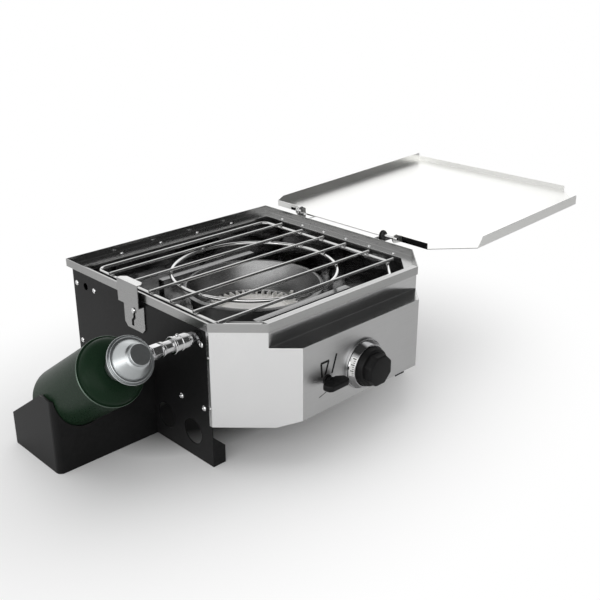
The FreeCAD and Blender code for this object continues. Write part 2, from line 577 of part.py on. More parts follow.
rod = new_body("electrode_rod")
pad(rod, "XY_Plane", "0", "electrode_height", circles=[(("0", "0"), "electrode_radius")])
TIP_Z = "(electrode_height - electrode_radius)"
TIP_END = "(-electrode_reach + base_flange + tip_radius)"
pad(rod, "YZ_Plane", TIP_END, f"-{TIP_END}", circles=[(("0", TIP_Z), "tip_radius")])
place(rod, "burner_shift + electrode_reach", "burner_back", FLOOR_TOP)
clip = new_body("electrode_bracket")
CLIP_HOLE = (("0", "0"), "electrode_radius + screw_play")
pad(clip, "XY_Plane", "0", "clip_metal",
    [box("-clip_length / 2", "clip_length / 2", "-clip_width / 2", "clip_width / 2")], [CLIP_HOLE])
pad(clip, "XY_Plane", "0", "clip_width",
    [box("-clip_length / 2", "clip_length / 2", "clip_width / 2 - clip_metal", "clip_width / 2")])
place(clip, "burner_shift + electrode_reach", "burner_back", FLOOR_TOP)

# Gas valve behind the control face, its orifice, push collar and stem.
BOSS_FRONT = f"({FRONT_FACE} + boss_out)"
KNOB_AT = ("burner_shift", "knob_height")
valve = new_body("gas_valve")
VALVE_BOX = box("burner_shift - valve_width / 2", "burner_shift + valve_width / 2", "valve_low",
    "valve_high")
pad(valve, "XZ_Plane", VALVE_BACK, "valve_depth", [VALVE_BOX])
pad(valve, "XZ_Plane", f"{VALVE_BACK} + valve_depth", "valve_boss + metal + boss_out",
    circles=[(KNOB_AT, "boss_radius")])
pocket(valve, "XZ_Plane", BOSS_FRONT, "collar_length + push_travel + push_play",
       circles=[(KNOB_AT, "collar_radius + run_play")])
pocket(valve, "XZ_Plane", BOSS_FRONT, "boss_out + stem_depth + push_travel + push_play",
       circles=[(KNOB_AT, "stem_radius + run_play")])
place(valve)

orifice = turned("gas_orifice", [
    ("0", "0"), ("orifice_radius", "0"), ("orifice_radius", "orifice_length * 0.6"),
    ("orifice_radius * 0.4", "orifice_length"), ("0", "orifice_length")])
place(orifice, "burner_shift", f"-{VALVE_BACK}", "mixer_height", X_AXIS, "-90")

STEM_BORE = "(stem_radius + run_play)"
push_collar = turned("push_collar", [
    (STEM_BORE, "boss_out - collar_length"), ("collar_radius", "boss_out - collar_length"),
    ("collar_radius", "boss_out"), (STEM_BORE, "boss_out")])
place(push_collar, "burner_shift", KNOB_Y, "knob_height", X_AXIS, "90")
stem = turned("valve_stem", [
    ("0", "-stem_depth"), ("stem_radius", "-stem_depth"), ("stem_radius", "knob_front - knob_floor"),
    ("0", "knob_front - knob_floor")])
place(stem, "burner_shift", KNOB_Y, "knob_height", X_AXIS, "90")

# Bezel and knob.
BEZEL_HOLE = "(boss_radius + run_play)"
bezel = turned("knob_bezel", [
    (BEZEL_HOLE, "0"), ("bezel_radius", "0"), ("bezel_radius", "bezel_flange"),
        ("bezel_drum", "bezel_flange"),
    ("bezel_nose", "bezel_depth"), ("bezel_bore", "bezel_depth"), ("bezel_bore", "bezel_floor"),
    (BEZEL_HOLE, "bezel_floor")])
place(bezel, "burner_shift", KNOB_Y, "knob_height", X_AXIS, "90")
knob = new_body("control_knob")
pad(knob, "XY_Plane", "skirt_back", "skirt_front - skirt_back", circles=[(("0", "0"), "skirt_radius")])
pad(knob, "XY_Plane", "skirt_front", "knob_front - skirt_front - cap_chamfer",
    [polygon_loop("cap_radius", 8)])
pad(knob, "XY_Plane", "knob_front - cap_chamfer", "cap_chamfer",
    [polygon_loop("cap_radius - cap_chamfer", 8)])
pocket(knob, "XY_Plane", "knob_front - knob_floor", "knob_front",
    circles=[(("0", "0"), "stem_radius + seat_gap / 2")])
place(knob, "burner_shift", KNOB_Y, "knob_height", X_AXIS, "90")

# Igniter: spark unit behind the face and a flat key turned by hand.
SPINDLE_BORE = "(key_spindle + run_play)"
PIEZO_LOW = "(-metal - piezo_length)"
piezo = turned("igniter_body", [
    ("0", PIEZO_LOW), ("piezo_radius", PIEZO_LOW), ("piezo_radius", "-metal"), ("piezo_collar", "-metal"),
    ("piezo_collar", "piezo_out"), (SPINDLE_BORE, "piezo_out"), (SPINDLE_BORE, "-spindle_depth - key_gap"),
    ("0", "-spindle_depth - key_gap")])
place(piezo, "-igniter_left", KNOB_Y, "igniter_drop", X_AXIS, "90")
key = new_body("igniter_key")
KEY_BASE = "(piezo_out + key_gap)"
paddle = [("key_neck", "key_foot"), ("key_half", "key_wide"),
    ("key_half - key_round / 2", "key_depth - key_round"),
          ("key_tip", "key_depth")]
pad(key, "XZ_Plane", "-key_thick / 2", "key_thick", [mirrored(paddle)])
pad(key, "XY_Plane", KEY_BASE, f"key_foot + key_round - {KEY_BASE}", circles=[(("0", "0"), "key_stem")])
pad(key, "XY_Plane", "-spindle_depth", f"{KEY_BASE} + spindle_depth", circles=[(("0", "0"), "key_spindle")])
place(key, "-igniter_left", KNOB_Y, "igniter_drop", X_AXIS, "90")

# Gas inlet through the left panel, supply tube, quick coupler. Local z runs outward.
INLET = (f"-{PANEL_FACE}", INLET_Y, INLET_Z, Y_AXIS, "-90")
inlet = new_body("inlet_fitting")
pad(inlet, "XY_Plane", "0", "inlet_length", [polygon_loop("inlet_hex", 6)])
pad(inlet, "XY_Plane", "-panel_metal", "panel_metal", circles=[(("0", "0"), "inlet_thread")])
pad(inlet, "XY_Plane", "-panel_metal - inlet_block", "inlet_block",
    [box("-inlet_half", "inlet_half", "-inlet_half", "inlet_half")])
place(inlet, *INLET)

SUPPLY_X = f"({PANEL_FACE} - panel_metal - inlet_block / 2)"
LINER_CORNER = "(rim_width / 2 + rim_depth / 2 - rim_chamfer - (ledge_side - metal * 2) * sqrt(2))"
GAP_MIDDLE = f"(({LINER_CORNER} + {CORNER} - metal * sqrt(2)) / 2)"
SUPPLY_Y = f"({FRONT_FACE} - supply_back)"
supply_line = [
    (f"-{SUPPLY_X}", INLET_Y, f"{INLET_Z} - inlet_half"), (f"-{SUPPLY_X}", INLET_Y, "supply_level"),
    (f"-{SUPPLY_X}", f"-({GAP_MIDDLE} - {SUPPLY_X})", "supply_level"),
    (f"-({GAP_MIDDLE} - {SUPPLY_Y})", f"-{SUPPLY_Y}", "supply_level"),
    ("burner_shift - valve_width / 2", f"-{SUPPLY_Y}", "supply_level")]
supply_points = [Vector(number(a), number(b), number(c)) for a, b, c in supply_line]
supply_path = rounded_path(supply_points, number("supply_bend"), False)
supply_bore = number("supply_radius - supply_wall")
supply = new_part("Part::Feature", "supply_tube")
supply.Shape = swept(supply_path, number("supply_radius")).cut(swept(supply_path, supply_bore))
place(supply)

SOCKET_END = "(inlet_length + socket_length)"
NOSE_END = f"({SOCKET_END} + plug_gap - plug_nose)"
NOSE_BORE = "(socket_bore + run_play)"
socket = turned("coupler_socket", [
    ("0", "inlet_length"), ("socket_radius", "inlet_length"), ("socket_radius", SOCKET_END),
        (NOSE_BORE, SOCKET_END),
    (NOSE_BORE, f"{NOSE_END} - plug_gap"), ("0", f"{NOSE_END} - plug_gap")])
place(socket, *INLET)
SLEEVE_LOW = "(inlet_length + sleeve_gap)"
SLEEVE_END = f"({SLEEVE_LOW} + sleeve_length)"
SLEEVE_BORE = "(socket_radius + run_play)"
sleeve = turned("coupler_sleeve", [
    (SLEEVE_BORE, SLEEVE_LOW), ("sleeve_radius", SLEEVE_LOW),
        ("sleeve_radius", f"{SLEEVE_END} - sleeve_ring_length"),
    ("sleeve_ring", f"{SLEEVE_END} - sleeve_ring_length"), ("sleeve_ring", SLEEVE_END),
    (SLEEVE_BORE, SLEEVE_END)])
pad(sleeve, "YZ_Plane", "sleeve_radius - metal", "pip_rise + metal",
    circles=[(("0", f"{SLEEVE_END} - pip_place"), "pip_radius")])
place(sleeve, *INLET)
PLUG_LOW = f"({SOCKET_END} + plug_gap)"
RING_LOW = f"({PLUG_LOW} + plug_body)"
RING_END = f"({RING_LOW} + plug_ring_length)"
HEX_LOW = f"({RING_END} + plug_neck_length)"
PLUG_END = "(cylinder_off - body_radius - outlet_out)"
plug = turned("coupler_plug", [
    ("0", NOSE_END), ("socket_bore", NOSE_END), ("socket_bore", PLUG_LOW), ("plug_radius", PLUG_LOW),
    ("plug_radius", RING_LOW), ("plug_ring", RING_LOW), ("plug_ring", RING_END), ("plug_neck", RING_END),
    ("plug_neck", PLUG_END), ("0", PLUG_END)])
pad(plug, "XY_Plane", HEX_LOW, "plug_hex_length", [polygon_loop("plug_hex", 6)])
place(plug, *INLET)

# Regulator and gas cylinder on the tilted axis; local z runs toward the regulator's cap.
BOTTLE = (f"-{CYLINDER_OUT}", INLET_Y, INLET_Z, X_AXIS, "90 - cylinder_tilt")
NECK_BORE = "(neck_radius + run_play)"
regulator = turned("regulator_body", [
    ("0", "-neck_top + seat_gap"), ("0", "body_front"), ("body_radius", "body_front"),
        ("body_radius", "-body_back"),
    ("union_radius", "-body_back"), ("union_radius", "-union_back"), (NECK_BORE, "-union_back"),
    (NECK_BORE, "-neck_top + seat_gap")])
pad(regulator, "YZ_Plane", "0", "body_radius + outlet_out", circles=[(("0", "0"), "plug_neck")])
place(regulator, *BOTTLE)
DISC_TOP = "(body_front + disc_metal)"
STEP_HIGH = f"({DISC_TOP} + step_metal)"
cap = turned("regulator_cap", [
    ("0", "body_front"), ("disc_radius", "body_front"), ("disc_radius", DISC_TOP),
        ("step_radius", DISC_TOP),
    ("step_radius", STEP_HIGH), ("cone_foot", STEP_HIGH), ("cone_top", "cap_top"),
    ("cap_dish_radius", "cap_top"),
    ("cap_dish_radius", "cap_top - cap_dish"), ("0", "cap_top - cap_dish")])
place(cap, *BOTTLE)


def cylinder_profile(inward):
    skin = f"cylinder_radius - {inward}"
    rise = "(shoulder_back - neck_back)"
    return [(f"neck_radius * 2.1 - {inward}", f"-neck_back - {rise} * 0.12 - {inward}"),
            (f"{skin} - {rise} * 0.38", f"-neck_back - {rise} * 0.42 - {inward}"),
            (f"{skin} - {rise} * 0.09", f"-neck_back - {rise} * 0.8 - {inward}"),
            (skin, f"-shoulder_back - {inward}"),
            (skin, f"-cylinder_end + cylinder_round + {inward}"),
            (f"{skin} - cylinder_round * 0.3", f"-cylinder_end + cylinder_round * 0.35 + {inward}")]


FOOT_INNER = "(foot_ring - foot_ring_wall)"
BASE_OUT = "(-cylinder_end + foot_ring_depth)"
bottle = turned("gas_cylinder", [("valve_hole", "-neck_top"), ("neck_radius", "-neck_top"),
    ("neck_radius", "-neck_back")]
                + cylinder_profile("0")
                + [("foot_ring", "-cylinder_end"), (FOOT_INNER, "-cylinder_end"), (FOOT_INNER, BASE_OUT),
                    ("0", BASE_OUT),
                   ("0", f"{BASE_OUT} + cylinder_wall"), ("foot_ring", f"{BASE_OUT} + cylinder_wall")]
                + cylinder_profile("cylinder_wall")[::-1][1:]
                + [("valve_hole", "-neck_back - cylinder_wall * 2")])
place(bottle, *BOTTLE)
VALVE_OUT = "(valve_hole - seat_gap)"
pin_valve = turned("cylinder_valve", [
    ("0", "-neck_top - pin_valve_length"), (VALVE_OUT, "-neck_top - pin_valve_length"),
        (VALVE_OUT, "-neck_top"),
    ("0", "-neck_top")])
place(pin_valve, *BOTTLE)

# Cylinder holder: a thin-walled box open below, with a saddle along the cylinder.
holder_block = new_body("holder_block", False)
HOLDER_SIDE = [("-holder_front", "0"), ("holder_back", "0"), ("holder_back", "holder_low"),
               ("holder_level", "holder_high"), ("-holder_front", "holder_high")]
pad(holder_block, "YZ_Plane", f"-{HOLDER_OUT}", "holder_reach", [HOLDER_SIDE])
holder_inside = new_body("holder_inside", False)
INSIDE_BACK = "(holder_back - holder_wall)"
INSIDE_FRONT = "(-holder_front + holder_wall)"
INSIDE_TOP = "(holder_high - holder_wall)"
INSIDE_SIDE = [(INSIDE_FRONT, "-holder_wall"), (INSIDE_BACK, "-holder_wall"),
    (INSIDE_BACK, "holder_low - holder_wall"),
               ("holder_level - holder_wall / 2", INSIDE_TOP), (INSIDE_FRONT, INSIDE_TOP)]
pad(holder_inside, "YZ_Plane", f"-{HOLDER_OUT} + holder_wall", "holder_reach - holder_wall * 2",
    [INSIDE_SIDE])


def cradle_cylinder(name, margin):
    room = doc.addObject("Part::Cylinder", name)
    depth = f"(cylinder_end + {margin})"
    room.Placement = FreeCAD.Placement(Vector(0, 0, 0),
        FreeCAD.Rotation(X_AXIS, number("90 - cylinder_tilt")))
    room.setExpression("Placement.Rotation.Angle", formula("90 - cylinder_tilt"))
    room.setExpression("Radius", formula(f"cylinder_radius + {margin}"))
    room.setExpression("Height", formula(depth))
    room.setExpression("Placement.Base.x", formula(f"-{CYLINDER_OUT}"))
    room.setExpression("Placement.Base.y", formula(f"{INLET_Y} + {depth} * cos(cylinder_tilt)"))
    room.setExpression("Placement.Base.z", formula(f"{INLET_Z} - {depth} * sin(cylinder_tilt)"))
    return room


def cut(name, base_piece, tool, handed_on=False):
    piece = doc.addObject("Part::Cut", name)
    piece.Label = name
    piece.Base = base_piece
    piece.Tool = tool
    if handed_on:
        made.append(piece)
    return piece


saddled = cut("holder_saddled", holder_block, cradle_cylinder("cylinder_room", "cradle_play"))
hollow = cut("holder_hollow", holder_inside, cradle_cylinder("saddle_skin", "(cradle_play + holder_wall)"))
place(cut("cylinder_holder", saddled, hollow, True))

# Latch on the left side: tongue with a slot, joggle, upright plate and inward flap.
TONGUE_X = f"({PANEL_FACE} + latch_gap)"
UPRIGHT_X = f"({TONGUE_X} + latch_stand)"
LATCH_Y = ("(latch_back - latch_width / 2)", "(latch_back + latch_width / 2)")
FLAP_Z = "(rim_height + flap_under)"
latch = new_body("latch_plate")
tongue = [(LATCH_Y[0], "joggle_height + latch_metal"), (LATCH_Y[0], "latch_bottom + latch_round"),
          (f"{LATCH_Y[0]} + latch_round", "latch_bottom"), (f"{LATCH_Y[1]} - latch_round", "latch_bottom"),
          (LATCH_Y[1], "latch_bottom + latch_round"), (LATCH_Y[1], "joggle_height + latch_metal")]
SLOT_KNEE = "(stud_height - slot_run)"
slot = [("latch_back - slot_half", "stud_height + slot_half"),
    ("latch_back + slot_half", "stud_height + slot_half"),
        ("latch_back + slot_half", SLOT_KNEE), ("latch_back + slot_half + slot_side",
        f"{SLOT_KNEE} - slot_side"),
        ("latch_back + slot_half + slot_side", "slot_low"),
        ("latch_back - slot_half + slot_side", "slot_low"),
        ("latch_back - slot_half + slot_side", f"{SLOT_KNEE} - slot_side"),
        ("latch_back - slot_half", SLOT_KNEE)]
pad(latch, "YZ_Plane", f"-{TONGUE_X} - latch_metal", "latch_metal", [tongue, slot])
pad(latch, "XY_Plane", "joggle_height", "latch_metal",
    [box(f"-{UPRIGHT_X} - latch_metal", f"-{TONGUE_X}", *LATCH_Y)])
pad(latch, "YZ_Plane", f"-{UPRIGHT_X} - latch_metal", "latch_metal",
    [box(*LATCH_Y, "joggle_height", f"{FLAP_Z} + latch_metal")])
FLAP_OUT = f"(-{UPRIGHT_X} - latch_metal)"
flap_end = f"({FLAP_OUT} + flap_reach)"
flap = [(FLAP_OUT, LATCH_Y[0]), (f"{flap_end} - latch_round", LATCH_Y[0]),
    (flap_end, f"{LATCH_Y[0]} + latch_round"),
        (flap_end, f"{LATCH_Y[1]} - latch_round"), (f"{flap_end} - latch_round", LATCH_Y[1]),
        (FLAP_OUT, LATCH_Y[1])]
pad(latch, "XY_Plane", FLAP_Z, "latch_metal", [flap])
place(latch)
STUD_OUT = "(latch_gap * 2 + latch_metal)"
stud = turned("latch_stud", [("0", "-screw_grip"), ("stud_radius", "-screw_grip"), ("stud_radius",
    STUD_OUT)]
              + [(a, f"{b} + {STUD_OUT}") for a, b in dome_profile("stud_head", "stud_head_height")[1:]])
place(stud, f"-{PANEL_FACE}", "latch_back", "stud_height", Y_AXIS, "-90")

# Lid: drawn closed about the hinge axis and turned open; the sheet's inner side faces up at rest.
LID_FAR = f"(-{LID_RUN})"
LID_NEAR = f"({LID_FAR} + {LID_WIDTH})"
LID_IN = f"({LID_TOP} - lid_metal)"
END_LOW = f"({LID_TOP} - lid_end_flange)"
SIDE_LOW = f"({LID_TOP} - lid_side_flange)"
CUT_Y = f"(-{LID_HALF} + {LID_CUT})"
FRONT_EAR = "(-hinge_front - pin_reach)"
REAR_EAR = "(hinge_back + bracket_metal / 2 + washer_metal + hinge_gap * 2)"
lid = new_body("lid_tray")
pad(lid, "XY_Plane", LID_IN, "lid_metal", [[
    (LID_FAR, LID_HALF), (LID_FAR, CUT_Y), (f"{LID_FAR} + {LID_CUT}", f"-{LID_HALF}"),
    (f"{LID_NEAR} - {LID_CUT}", f"-{LID_HALF}"), (LID_NEAR, CUT_Y), (LID_NEAR, LID_HALF)]])
front_flange = [(f"{LID_FAR} + {LID_CUT}", LID_TOP), (f"{LID_FAR} + {LID_CUT}", END_LOW),
                (f"{LID_NEAR} - {LID_CUT} - lid_slant", END_LOW), (f"{LID_NEAR} - {LID_CUT}", LID_TOP)]
pad(lid, "XZ_Plane", f"{LID_HALF} - lid_metal", "lid_metal", [front_flange])
back_flange = [(LID_FAR, LID_TOP), (LID_FAR, END_LOW), (f"{LID_NEAR} - lid_slant", END_LOW),
    (LID_NEAR, SIDE_LOW),
               (LID_NEAR, LID_TOP)]
pad(lid, "XZ_Plane", f"-{LID_HALF}", "lid_metal", [back_flange])
pad(lid, "YZ_Plane", LID_FAR, "lid_metal", [box(CUT_Y, LID_HALF, SIDE_LOW, LID_TOP)])
pad(lid, "YZ_Plane", f"{LID_NEAR} - lid_metal", "lid_metal", [box(CUT_Y, FRONT_EAR, SIDE_LOW, LID_TOP)])
pad(lid, "YZ_Plane", f"{LID_NEAR} - lid_metal", "lid_metal", [box(REAR_EAR, LID_HALF, SIDE_LOW, LID_TOP)])
ear = [(f"{LID_NEAR} - lid_metal", LID_TOP), (f"{LID_NEAR} - lid_metal", SIDE_LOW), ("0", "-ear_radius"),
    ("0", "ear_radius")]
for start in (f"-{FRONT_EAR}", f"-{REAR_EAR} - ear_metal"):
    pad(lid, "XZ_Plane", start, "ear_metal", [ear])
    pad(lid, "XZ_Plane", start, "ear_metal", circles=[(("0", "0"), "ear_radius")])
    pocket(lid, "XZ_Plane", f"{start} + ear_metal * 2", "ear_metal * 3",
        circles=[(("0", "0"), "pin_radius + run_play")])
place(lid, HINGE_X, "0", HINGE_Z, Y_AXIS, "180 - lid_tilt")

# Hinge brackets on the right panel, each with a shelf that stops the open lid, pins and washers.
LID_EDGE = f"({HINGE_X} + rim_width / 2 - {LID_WIDTH})"
STOP_TOP = f"({HINGE_Z} - {LID_TOP} * cos(lid_tilt) + {LID_EDGE} * sin(lid_tilt) - stop_gap)"


def hinge_bracket(name, middle, toward):
    body = new_body(name)
    ear_start = f"-({middle}) - bracket_metal / 2"
    arm = [(PANEL_FACE, "bracket_low"), (f"{HINGE_X} + bracket_radius / 2", f"{HINGE_Z} - bracket_rise"),
           (f"{HINGE_X} + bracket_radius", HINGE_Z), (f"{HINGE_X} - bracket_radius", HINGE_Z),
           (f"{HINGE_X} - bracket_radius", "bracket_top + bracket_metal"), (PANEL_FACE, "bracket_top")]
    pad(body, "XZ_Plane", ear_start, "bracket_metal", [arm])
    pad(body, "XZ_Plane", ear_start, "bracket_metal", circles=[((HINGE_X, HINGE_Z), "bracket_radius")])
    near = f"{middle} - ({toward}) * bracket_metal / 2"
    foot = box(near, f"{middle} + ({toward}) * bracket_foot", "bracket_low", "bracket_top")
    pad(body, "YZ_Plane", PANEL_FACE, "bracket_metal", [foot])
    shelf = box(HINGE_X, f"{HINGE_X} + stop_reach", near, f"{middle} + ({toward}) * stop_width")
    pad(body, "XY_Plane", f"{STOP_TOP} - stop_metal", "stop_metal", [shelf])
    pocket(body, "XZ_Plane", f"{ear_start} + bracket_metal * 2", "bracket_metal * 3",
           circles=[((HINGE_X, HINGE_Z), "pin_radius + run_play")])
    return place(body)


hinge_bracket("front_hinge_bracket", "(-hinge_front)", 1)
hinge_bracket("rear_hinge_bracket", "hinge_back", -1)

HEAD_LOW = "(-bracket_metal / 2 - pin_head)"
SHOULDER = "(pin_reach - hinge_gap - pin_head)"
front_pin = turned("front_hinge_pin", [
    ("0", HEAD_LOW), ("pin_head_radius", HEAD_LOW), ("pin_head_radius", "-bracket_metal / 2"),
    ("pin_radius", "-bracket_metal / 2"), ("pin_radius", SHOULDER), ("pin_head_radius", SHOULDER),
    ("pin_head_radius", f"{SHOULDER} + pin_head"), ("pin_radius", f"{SHOULDER} + pin_head"),
    ("pin_radius", "pin_reach + ear_metal + pin_end"), ("0", "pin_reach + ear_metal + pin_end")])
place(front_pin, HINGE_X, "-hinge_front", HINGE_Z, X_AXIS, "90")
REAR_END = "(bracket_metal / 2 + washer_metal + hinge_gap * 2 + ear_metal + pin_end)"
rear_pin = turned("rear_hinge_pin", [
    ("0", HEAD_LOW), ("pin_head_radius", HEAD_LOW), ("pin_head_radius", "-bracket_metal / 2"),
    ("pin_radius", "-bracket_metal / 2"), ("pin_radius", REAR_END), ("0", REAR_END)])
place(rear_pin, HINGE_X, "hinge_back", HINGE_Z, X_AXIS, "-90")
washer = turned("hinge_washer", [
    ("pin_radius + run_play", "0"), ("washer_radius", "0"), ("washer_radius", "washer_metal"),
    ("pin_radius + run_play", "washer_metal")], False)
WASHER_OFF = "(bracket_metal / 2 + hinge_gap)"
group("hinge_washers", washer, X_AXIS,
      [(HINGE_X, f"-hinge_front - {WASHER_OFF}", HINGE_Z, 90),
      (HINGE_X, f"hinge_back + {WASHER_OFF}", HINGE_Z, -90)])

doc.recompute()
for piece in doc.Objects:
    if "Invalid" in piece.State or "Error" in piece.State:
        raise RuntimeError(f"{piece.Label} does not compute: {piece.State}")
os.makedirs("parts", exist_ok=True)
for piece in made:
    if piece.Shape.isNull() or not piece.Shape.isValid() or not piece.Shape.Solids:
        raise RuntimeError(f"{piece.Label} has no valid solid")
    piece.Shape.exportStep(f"parts/{piece.Label}.step")
    print(piece.Label, len(piece.Shape.Solids), round(piece.Shape.Volume / 1000, 2))
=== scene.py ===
import json
import math
import bmesh
import bpy
from mathutils import Matrix, Vector


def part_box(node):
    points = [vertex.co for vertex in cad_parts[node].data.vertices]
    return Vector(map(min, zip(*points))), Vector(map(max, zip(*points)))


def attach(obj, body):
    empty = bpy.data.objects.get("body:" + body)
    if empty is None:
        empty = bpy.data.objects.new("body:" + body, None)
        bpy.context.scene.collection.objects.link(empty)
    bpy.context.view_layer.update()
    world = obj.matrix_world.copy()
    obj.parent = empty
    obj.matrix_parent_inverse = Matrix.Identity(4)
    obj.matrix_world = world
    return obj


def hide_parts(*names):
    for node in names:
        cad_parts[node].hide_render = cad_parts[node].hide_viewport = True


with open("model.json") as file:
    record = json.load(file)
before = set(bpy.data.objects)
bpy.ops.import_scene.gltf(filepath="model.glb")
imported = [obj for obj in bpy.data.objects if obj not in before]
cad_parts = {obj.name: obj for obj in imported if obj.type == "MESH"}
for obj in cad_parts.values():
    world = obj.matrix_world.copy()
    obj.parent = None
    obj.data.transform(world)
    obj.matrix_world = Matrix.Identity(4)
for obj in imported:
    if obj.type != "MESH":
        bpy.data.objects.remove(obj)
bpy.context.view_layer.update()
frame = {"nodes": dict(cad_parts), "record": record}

nodes = frame["nodes"]
behaviour = frame["record"]["behaviour"]
bodyOf = {node: body for body, members in behaviour["bodies"].items() for node in members}
slotOf = {entry["node"]: entry["material_slot"] for entry in frame["record"]["subparts"]}
jointOf = {joint["name"]: joint for joint in behaviour["joints"]}


def middleOf(low, high):
    return [(one + two) / 2 for one, two in zip(low, high)]


rimLow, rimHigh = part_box("rim_frame")
rimTop = Vector((*middleOf(rimLow, rimHigh)[:2], rimHigh.z))
print("stage: frame loaded,", len(nodes), "nodes")


# Node helpers
def setInputs(tree, node, values):
    # an output is linked to its socket, a plain value is set on it
    for key, value in values.items():
        if isinstance(value, bpy.types.NodeSocket):
            tree.links.new(value, node.inputs[key])
        else:
            node.inputs[key].default_value = value


def addNode(tree, kind, inputs=None, **settings):
    made = tree.nodes.new(kind)
    for key, value in settings.items():
        setattr(made, key, value)
    setInputs(tree, made, inputs or {})
    return made


def objectPlace(tree):
    return addNode(tree, "ShaderNodeTexCoord").outputs["Object"]


def noiseOf(tree, place, scale, detail, broken=0.55):
    inputs = {"Vector": place, "Scale": scale, "Detail": detail, "Roughness": broken}
    return addNode(tree, "ShaderNodeTexNoise", inputs).outputs["Fac"]


def bumpOf(tree, height, depth, relief):
    inputs = {"Height": height, "Strength": depth, "Distance": relief}
    return addNode(tree, "ShaderNodeBump", inputs).outputs[0]


def remap(tree, source, low, high, toLow=0.0, toHigh=1.0, kind="LINEAR"):
    inputs = dict(enumerate((source, low, high, toLow, toHigh)))
    return addNode(tree, "ShaderNodeMapRange", inputs, interpolation_type=kind).outputs[0]


def combine(tree, operation, *values):
    return addNode(tree, "ShaderNodeMath", dict(enumerate(values)), operation=operation).outputs[0]


def combineVectors(tree, operation, *values):
    return addNode(tree, "ShaderNodeVectorMath", dict(enumerate(values)), operation=operation).outputs


def mixValues(tree, factor, low, high):
    inputs = {"Factor": factor, "A": low, "B": high}
    return addNode(tree, "ShaderNodeMix", inputs, data_type="FLOAT").outputs["Result"]


def mixColours(tree, factor, low, high):
    colours = [(*side, 1.0) if isinstance(side, tuple) else side for side in (low, high)]
    inputs = {"Factor": factor, "A": colours[0], "B": colours[1]}
    return addNode(tree, "ShaderNodeMix", inputs, data_type="RGBA").outputs["Result"]


# Shader groups shared by the materials
def newGroup(name, inputs, outputs):
    tree = bpy.data.node_groups.new(name, "ShaderNodeTree")
    for label, kind, value in inputs:
        socket = tree.interface.new_socket(label, in_out="INPUT", socket_type=kind)
        socket.default_value = value
    for label, kind in outputs:
        tree.interface.new_socket(label, in_out="OUTPUT", socket_type=kind)
    return tree, tree.nodes.new("NodeGroupInput"), tree.nodes.new("NodeGroupOutput")


brushedLook = {"scale": 1.0, "detail": 5.0, "broken": 0.6, "even": (0.25, 0.75), "relief": 0.0002}


def makeBrushedGroup(scale, detail, broken, even, relief):
    tree, given, taken = newGroup(
        "BrushedGrain",
        [("Stretch", "NodeSocketVector", (1.0, 1.0, 1.0)), ("Depth", "NodeSocketFloat", 0.05)],
        [("Streak", "NodeSocketFloat"), ("Normal", "NodeSocketVector")])
    place = combineVectors(tree, "MULTIPLY", objectPlace(tree), given.outputs["Stretch"])[0]
    streak = remap(tree, noiseOf(tree, place, scale, detail, broken), *even)
    normal = bumpOf(tree, streak, given.outputs["Depth"], relief)
    setInputs(tree, taken, {"Streak": streak, "Normal": normal})
    return tree


fineLook = {"scale": 900.0, "detail": 3.0, "relief": 0.0004}


def makeFineGroup(scale, detail, relief):
    tree, given, taken = newGroup(
        "FineTexture",
        [("Scale", "NodeSocketFloat", scale), ("Depth", "NodeSocketFloat", 0.12)],
        [("Grain", "NodeSocketFloat"), ("Normal", "NodeSocketVector")])
    grain = noiseOf(tree, objectPlace(tree), given.outputs["Scale"], detail)
    normal = bumpOf(tree, grain, given.outputs["Depth"], relief)
    setInputs(tree, taken, {"Grain": grain, "Normal": normal})
    return tree


wearLook = {"edge": (0.52, 0.62), "scale": 180.0, "detail": 4.0, "patches": (0.35, 0.7)}


def makeWearGroup(edge, scale, detail, patches):
    tree, given, taken = newGroup(
        "EdgeWear", [("Amount", "NodeSocketFloat", 0.5)], [("Mask", "NodeSocketFloat")])
    shape = addNode(tree, "ShaderNodeNewGeometry")
    sharp = remap(tree, shape.outputs["Pointiness"], *edge)
    broken = remap(tree, noiseOf(tree, objectPlace(tree), scale, detail), *patches)
    both = combine(tree, "MULTIPLY", sharp, broken)
    setInputs(tree, taken, {"Mask": combine(tree, "MULTIPLY", both, given.outputs["Amount"])})
    return tree


smudgeLook = {"detail": 6.0, "broken": 0.62, "even": (0.3, 0.7)}
smudgeScale = {"metal": 9.0, "coat": 7.0}


def makeSmudgeGroup(detail, broken, even):
    tree, given, taken = newGroup(
        "Smudge", [("Scale", "NodeSocketFloat", 9.0)], [("Cloud", "NodeSocketFloat")])
    cloud = noiseOf(tree, objectPlace(tree), given.outputs["Scale"], detail, broken)
    setInputs(tree, taken, {"Cloud": remap(tree, cloud, *even)})
    return tree


brushedGroup = makeBrushedGroup(**brushedLook)
fineGroup = makeFineGroup(**fineLook)
wearGroup = makeWearGroup(**wearLook)
smudgeGroup = makeSmudgeGroup(**smudgeLook)
print("stage: shader groups")


# Finishes: a metal's tone and roughness follow its brushing and smudges, a coat's its fine grain and wear
def useGroup(tree, group, **values):
    return addNode(tree, "ShaderNodeGroup", values, node_tree=group).outputs


def startMaterial(name):
    material = bpy.data.materials.new(name)
    material.use_nodes = True
    return material, material.node_tree, material.node_tree.nodes["Principled BSDF"]


def grey(tone):
    return (tone, tone, tone)


alongX = (12.0, 900.0, 900.0)
alongY = (900.0, 12.0, 900.0)
evenGrain = (300.0, 300.0, 300.0)
streakShare = 0.6
cloudShare = 0.4
grainSpan = (0.3, 0.7)


